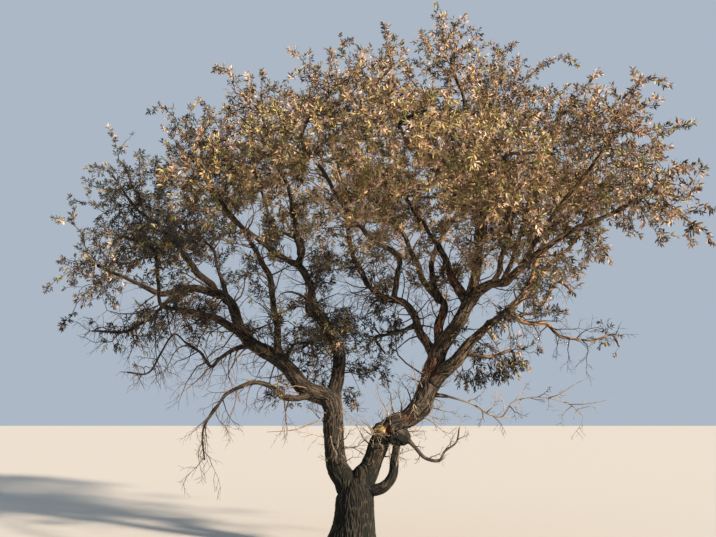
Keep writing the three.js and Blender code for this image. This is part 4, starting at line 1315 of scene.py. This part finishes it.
deadGroups = []
for limb, low, high, count, span, lift, leafy, *dead in sideTwigs:
    random = streamFor(f"{limb} {low} twigs")
    path = paths[limb]
    half = halfOf(path["centre"][:, 0].mean())
    i = np.unique(np.round(np.linspace(low, high, count) * (len(path["run"]) - 1)).astype(int))
    angle = random.uniform(0, 6) + np.arange(len(i)) * goldenAngle
    tilt = np.radians(random.uniform(*twigs["tilt"], len(i)))
    ways = unit(around(path["heading"][i], angle, tilt) + up * lift)
    spans = span * random.uniform(*twigs["length"], len(i))
    starts = path["centre"][i] + ways * path["radius"][i][:, None] * twigs["foot"]
    sag, forkSag = (lift * share for share in twigs["sag"])
    main = crookedPaths(starts, ways, spans, 6, sag, random)
    least, more = twigs["radius"]
    root = (least + more * spans) * (twigs["deadRadius"] if dead else 1)
    root = np.minimum(root, path["radius"][i] * twigs["stoutest"])
    tone = random.uniform(0.2, 0.9, len(i))
    tip, forkTip, fineTip = twigs["tips"]
    group = [(main, taperTo(main, root, tip), 5, tone)]
    forks = []
    longest, less = twigs["forkLength"]
    for k in twigs["forks"]:
        sideWays = turnedFrom(main[:, k] - main[:, k - 1], twigs["forkTilt"], random) + up * lift * 0.3
        forks.append(crookedPaths(main[:, k], sideWays, spans * (longest - less * k), 3, forkSag, random))
    several = len(forks)
    forks = np.vstack(forks)
    root = np.full(len(forks), twigs["forkRadius"])
    group.append((forks, taperTo(forks, root, forkTip), 3, np.tile(tone, several)))
    if leafy < twigs["hidden"]:
        starts = np.vstack((forks[:, 1], forks[:, 2]))
        ways = turnedFrom(np.tile(forks[:, 2] - forks[:, 1], (2, 1)), twigs["fineTilt"], random)
        fineSpans = np.tile(spans, 2 * several) * random.uniform(*twigs["fineLength"], len(starts))
        fine = crookedPaths(starts, ways, fineSpans, 2, forkSag, random)
        root = np.full(len(fine), twigs["fineRadius"])
        group.append((fine, taperTo(fine, root, fineTip), 3, np.tile(tone, 2 * several)))
    leafed = random.random(len(main)) < leafy
    if leafed.any():
        sprays = []
        ends = forks[np.tile(leafed, several)]
        bearers = (main[leafed], spans[leafed]), (ends, np.tile(spans[leafed], several))
        for (points, longs), (first, share) in zip(bearers, twigs["sprays"]):
            sprays.append(growSprays("", points[:, first:], longs * share, twigs["sprayShare"], lift, random))
        sprays = np.vstack(sprays)
        sprayGroups[half].append(sprayTubes(sprays))
        x, _, z = path["centre"][i].mean(0)
        left, below = twigs["shaded"]
        # painted shade: leaves low down or on the left get the grey deal
        dealLeaves(limb, "grey" if x < left or z < below else "olive", sprays, lift, random)
    if dead:
        deadGroups += group
    else:
        twigGroups[half] += group
stout, stoutTip, slimTip = twigs["single"]
limbPoints = np.vstack([path["centre"] for name, path in paths.items() if name != "trunk"])
passed = set()
for points, root, dead in singleTwigs:
    corners = np.array(points) * mm
    if points[0] not in passed:
        corners[0] = limbPoints[lengths(limbPoints - corners[0]).argmin()]
    passed.update(points)
    centres = curveThrough(corners, np.linspace(0, 3, 10))[None]
    group = (centres, taperTo(centres, np.array([root * mm]), stoutTip if root > stout else slimTip), 6, 0.5)
    (deadGroups if dead else twigGroups[halfOf(corners[0, 0])]).append(group)

deadLimbs = [ringTube(name, 12, tone=tone, share=share) for name, (tone, share) in wood["dead"].items()]
deadWood = joinTubes("dead_wood", deadLimbs + deadGroups)
twigPieces = {half: joinTubes(f"twigs_{half}", groups) for half, groups in twigGroups.items()}
sprayPieces = {half: joinTubes(f"sprays_{half}", groups) for half, groups in sprayGroups.items()}
leafPieces = {}
for (kind, half), groups in leafGroups.items():
    arrays = [np.concatenate(column) for column in zip(*groups)]
    leafPieces[kind, half] = leafMesh(f"leaves_{kind}_{half}", *arrays)
    print("leaves", kind, half, len(arrays[0]))
bpy.ops.object.select_all(action="DESELECT")


# Finishes.


class Value:
    # a number socket that takes part in sums
    def __init__(self, finish, socket):
        self.finish = finish
        self.socket = socket

    def __add__(self, other):
        return self.finish.maths("ADD", self, other)

    __radd__ = __add__

    def __sub__(self, other):
        return self.finish.maths("SUBTRACT", self, other)

    def __rsub__(self, other):
        return self.finish.maths("SUBTRACT", other, self)

    def __mul__(self, other):
        return self.finish.maths("MULTIPLY", self, other)

    __rmul__ = __mul__


class Finish:
    def __init__(self, name, roughness):
        self.material = bpy.data.materials.new(name)
        self.material.use_nodes = True
        self.tree = self.material.node_tree
        self.shader = self.tree.nodes["Principled BSDF"]
        self.shader.inputs["Roughness"].default_value = roughness
        self.shader.inputs["Specular IOR Level"].default_value = 0.25
        self.object = self.node("TexCoord", {}, {}).outputs["Object"]

    def node(self, kind, settings, sockets):
        made = self.tree.nodes.new("ShaderNode" + kind)
        for key, value in settings.items():
            setattr(made, key, value)
        for key, value in sockets.items():
            value = value.socket if isinstance(value, Value) else value
            if isinstance(value, bpy.types.NodeSocket):
                self.tree.links.new(value, made.inputs[key])
            else:
                made.inputs[key].default_value = value
        return made

    def maths(self, operation, first, second=0):
        return Value(self, self.node("Math", {"operation": operation}, {0: first, 1: second}).outputs[0])

    def attribute(self, name, output="Fac"):
        socket = self.node("Attribute", {"attribute_name": name}, {}).outputs[output]
        return Value(self, socket) if output == "Fac" else socket

    def axes(self):
        places = self.node("SeparateXYZ", {}, {0: self.object}).outputs
        return Value(self, places["X"]), Value(self, places["Z"])

    def noise(self, scale, detail=3.0, place=None):
        sockets = {"Vector": place or self.object, "Scale": scale, "Detail": detail}
        return Value(self, self.node("TexNoise", {}, sockets).outputs["Fac"])

    def step(self, value, low, high):
        sockets = {"Value": value, "From Min": low, "From Max": high}
        return Value(self, self.node("MapRange", {"interpolation_type": "SMOOTHSTEP"}, sockets).outputs[0])

    def mix(self, share, first, second):
        sockets = {0: share}
        for key, value in ((6, first), (7, second)):
            sockets[key] = (*value, 1) if isinstance(value, tuple) else value
        return self.node("Mix", {"data_type": "RGBA"}, sockets).outputs[2]

    def colour(self, socket):
        self.tree.links.new(socket, self.shader.inputs["Base Color"])

    def rough(self, value):
        self.tree.links.new(value.socket, self.shader.inputs["Roughness"])

    def bump(self, height, strength, distance):
        made = self.node("Bump", {}, {"Height": height, "Strength": strength, "Distance": distance})
        self.tree.links.new(made.outputs["Normal"], self.shader.inputs["Normal"])


def tint(r, g, b):
    # a colour as seen, in light as the shader takes it
    return tuple(((c / 255 + 0.055) / 1.055) ** 2.4 if c > 10 else c / 255 / 12.92 for c in (r, g, b))


barkColours = {
    "furrow": tint(26, 23, 20),
    "ridge": tint(86, 78, 67),
    "worn": tint(108, 93, 75),
    "lichen": tint(98, 98, 84),
    # reddish: peeled inner bark, and painted sunlight
    "warm": tint(126, 84, 60),
    # paler young bark, also used as painted sunlight on the sunny side
    "young": tint(152, 122, 92),
    # painted shade at the foot
    "footShade": tint(13, 17, 15),
    "cut": tint(178, 152, 104),
}

barkLook = {
    # how fine each pattern is
    "cracks": 62.0,
    "fibres": 150.0,
    "patches": 5.5,
    "lichens": 11.0,
    "peeling": 18.0,
    "cutEdge": 34.0,
    # how much of its colour comes in
    "lichen": 0.4,
    "warm": 0.8,
    # from and to, in metres to the right of the trunk or up: where the painted sunlight, the painted shade on
    # the left side and the painted shade at the foot come in
    "sunlitSide": (0.8, 2.4),
    "shaded": (-0.7, 0.5),
    "footShade": (0.9, 2.0),
    "bump": (0.75, 0.004),  # strength and height
}


def barkFinish(name, shade=0.0):
    # shade: how much painted shade the bark takes away from the sunny side
    look = barkLook
    finish = Finish(name, 0.92)
    grain = finish.attribute("grain", "Vector")
    ridge = finish.attribute("ridge")
    sockets = {"Vector": grain, "Scale": look["cracks"]}
    edges = finish.node("TexVoronoi", {"feature": "DISTANCE_TO_EDGE"}, sockets)
    crack = finish.step(Value(finish, edges.outputs["Distance"]), 0.0, 0.2)
    fine = finish.noise(look["fibres"], 4.0, grain)
    patch = finish.noise(look["patches"])
    colour = finish.mix(finish.step(patch, 0.42, 0.66), barkColours["ridge"], barkColours["worn"])
    across, height = finish.axes()
    low = 1 - finish.step(height, 0.6, 1.8)
    lichen = finish.step(finish.noise(look["lichens"], 4.0) + low * 0.14, 0.58, 0.7) * ridge
    colour = finish.mix(lichen * look["lichen"], colour, barkColours["lichen"])
    sunlitSide = finish.step(across, *look["sunlitSide"])  # painted sunlight: the bark is paler on the side of the sun
    slim = finish.attribute("slim")
    # paler young bark on slim limbs, and painted sunlight on the side of the sun
    colour = finish.mix(slim * 0.1 + sunlitSide * (slim * 0.35 + 0.5), colour, barkColours["young"])
    # reddish places, peeled bark and painted sunlight, broken up by noise
    warm = finish.attribute("warm") + (finish.noise(look["peeling"], 4.0) - 0.5) * 1.5
    warm = finish.step(warm, 0.4, 0.75)
    colour = finish.mix(warm * look["warm"], colour, barkColours["warm"])
    # painted shade: darker left of the trunk, and on thin bark away from the sunny side
    paintedShade = 0.42 + (1 - sunlitSide) * shade - finish.step(across, *look["shaded"]) * 0.42
    colour = finish.mix(paintedShade, colour, barkColours["furrow"])
    high = ridge * (0.45 + crack * 0.35) + (fine - 0.45) * 0.5
    colour = finish.mix(finish.step(high, 0.0, 0.7), barkColours["furrow"], colour)
    footShade = 1 - finish.step(height + (patch - 0.5) * 0.8, *look["footShade"])  # painted shade: darker towards the foot
    crest = finish.step(high, 0.35, 0.75)
    # painted shade at the foot, kept lighter on ridge tops and reddish places
    colour = finish.mix(footShade * (0.9 - crest * 0.24 - warm * 0.4), colour, barkColours["footShade"])
    bare = finish.step(finish.attribute("cut") + (finish.noise(look["cutEdge"]) - 0.5) * 0.9, 0.42, 0.6)
    finish.colour(finish.mix(bare * (crest * 0.5 + 0.4), colour, barkColours["cut"]))
    finish.rough(0.98 - ridge * 0.14)
    finish.bump(crack * 0.7 + fine * 0.5, *look["bump"])
    return finish.material

# the patterns, the heights in metres where painted sunlight makes the twigs paler, and the bump
twigLook = {"patches": 14.0, "fibres": 190.0, "sunlitHeight": (2.8, 4.2), "bump": (0.5, 0.001)}


def twigFinish(name, dark, pale, lit=0.0):
    finish = Finish(name, 0.85)
    patch = finish.noise(twigLook["patches"])
    fine = finish.noise(twigLook["fibres"], 2.0)
    _, height = finish.axes()
    toneAndSunlight = finish.attribute("tone") + (patch - 0.5) * 1.2 + (fine - 0.5) * 0.6
    # painted sunlight: twigs are paler high in the crown, by as much as lit asks
    toneAndSunlight += (finish.step(height, *twigLook["sunlitHeight"]) - 0.6) * lit
    finish.colour(finish.mix(finish.step(toneAndSunlight, 0.1, 0.95), dark, pale))
    finish.bump(fine, *twigLook["bump"])
    return finish.material

leafLook = {
    "patches": 2.2,
    "blotches": (60.0, 0.3),
    "midrib": (0.02, 0.07),  # half its width, at its pale middle and where it ends
    "veins": 58,
    "bump": (0.35, 0.0012),
}


def leafFinish(name, dark, pale, rib):
    finish = Finish(name, 0.55)
    tone = finish.attribute("tone")
    patch = finish.noise(leafLook["patches"], 2.0)
    own = finish.step(tone * 0.85 + (patch - 0.5) * 0.5, 0.12, 0.74)
    blade = finish.mix(own, dark, pale)
    uv = finish.node("UVMap", {"uv_map": "leafMap"}, {}).outputs[0]
    parts = finish.node("SeparateXYZ", {}, {0: uv})
    across = finish.maths("ABSOLUTE", Value(finish, parts.outputs["X"]) - 0.5)
    along = Value(finish, parts.outputs["Y"])
    midrib = 1 - finish.step(across, *leafLook["midrib"])
    veins = finish.maths("SINE", (along - across * 0.7) * leafLook["veins"])
    scale, share = leafLook["blotches"]
    blade = finish.mix(finish.step(finish.noise(scale, 2.0), 0.55, 0.75) * share, blade, dark)
    finish.colour(finish.mix(midrib * 0.6, blade, rib))
    finish.rough(0.5 + patch * 0.25)
    finish.bump(veins * 0.3 - midrib, *leafLook["bump"])
    return finish.material


leafColours = {
    # (dark, pale, midrib)
    "tan": (tint(56, 43, 32), tint(174, 142, 108), tint(190, 162, 130)),
    "silver": (tint(136, 116, 100), tint(194, 172, 152), tint(198, 181, 163)),
    "olive": (tint(44, 40, 24), tint(174, 157, 102), tint(188, 172, 122)),
    "fresh": (tint(68, 70, 38), tint(138, 134, 82), tint(152, 148, 102)),
    "umber": (tint(30, 25, 19), tint(72, 57, 42), tint(96, 78, 58)),
    # dark slate leaves, mostly in the grey deal of painted shade
    "slate": (tint(38, 40, 38), tint(76, 76, 70), tint(98, 97, 90)),
}

barkMaterial = barkFinish("bark")
# painted shade on the slender limbs, away from the sunny side
thinBark = barkFinish("thin bark", 0.25)
for piece in woodPieces.values():
    piece.data.materials.clear()
    piece.data.materials.append(thinBark if piece == slender else barkMaterial)
deadWood.data.materials.append(twigFinish("dead wood", tint(58, 53, 48), tint(152, 138, 120)))
# painted light: a shaded copy of the twig finish on the left half, and a paler sunlit copy on the right
twigMaterials = {
    "left": twigFinish("shaded twigs", tint(48, 39, 33), tint(104, 84, 66)),
    "right": twigFinish("sunlit twigs", tint(52, 43, 36), tint(158, 128, 100), 0.6),
}
for half in halves:
    for piece in (twigPieces[half], sprayPieces[half]):
        piece.data.materials.append(twigMaterials[half])
leafMaterials = {kind: leafFinish(f"{kind} leaf", *leafColours[kind]) for kind in leafKinds}
for (kind, half), piece in leafPieces.items():
    piece.data.materials.append(leafMaterials[kind])
print("finishes made")

# What each piece stands for.

for name, piece in woodPieces.items():
    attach(piece, "root")
cadNames = set(frame["nodes"])
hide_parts("trunk")
for name in ("main_boughs", "second_boughs", "high_boughs"):
    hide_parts(*[n for n in wood["pieces"][name]["limbs"] if n in cadNames])
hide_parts(*slenderNames)
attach(deadWood, "root")
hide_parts(*wood["dead"])
for half in halves:
    for piece in (twigPieces[half], sprayPieces[half]):
        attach(piece, "root")
        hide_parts(*[f"foliage_{name}" for name in twigMasses[half]])
for (kind, half), piece in leafPieces.items():
    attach(piece, "root")
    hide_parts(*sorted(f"foliage_{name}" for name in leafMasses[kind, half] if name in masses))

# Floor, light and camera.

studio = {
    "floor": tint(184, 182, 176),
    "floorSize": 160,
    "backdrop": tint(206, 220, 236),
    "backdropStrength": 0.67,
    # from where, softness in degrees, strength and colour
    "key": ((11.4, -8.4, 5.7), 4, 11.4, tint(255, 233, 208)),
    "eye": (0.04, -8.75, 1.65),
    "pitch": 11.6,
    "lens": 35.2,
}

bpy.ops.mesh.primitive_plane_add(size=studio["floorSize"])
floor = bpy.context.object
floor.name = "floor"
floorFinish = Finish("floor", 0.9)
floorFinish.shader.inputs["Base Color"].default_value = (*studio["floor"], 1)
floor.data.materials.append(floorFinish.material)

world = bpy.data.worlds.new("backdrop")
world.use_nodes = True
background = world.node_tree.nodes["Background"].inputs
background["Color"].default_value = (*studio["backdrop"], 1)
background["Strength"].default_value = studio["backdropStrength"]
bpy.context.scene.world = world

place, softness, strength, colour = studio["key"]
bpy.ops.object.light_add(type="SUN", location=place)
key = bpy.context.object
key.name = "key"
key.data.angle = math.radians(softness)
key.data.energy = strength
key.data.color = colour
key.rotation_euler = (-Vector(place)).to_track_quat("-Z", "Y").to_euler()

bpy.ops.object.camera_add(location=studio["eye"], rotation=(math.radians(90 + studio["pitch"]), 0, 0))
camera = bpy.context.object
camera.data.lens = studio["lens"]
camera.data.clip_end = 400
bpy.context.scene.camera = camera
bpy.context.scene.view_settings.view_transform = "Standard"
print("stage set")
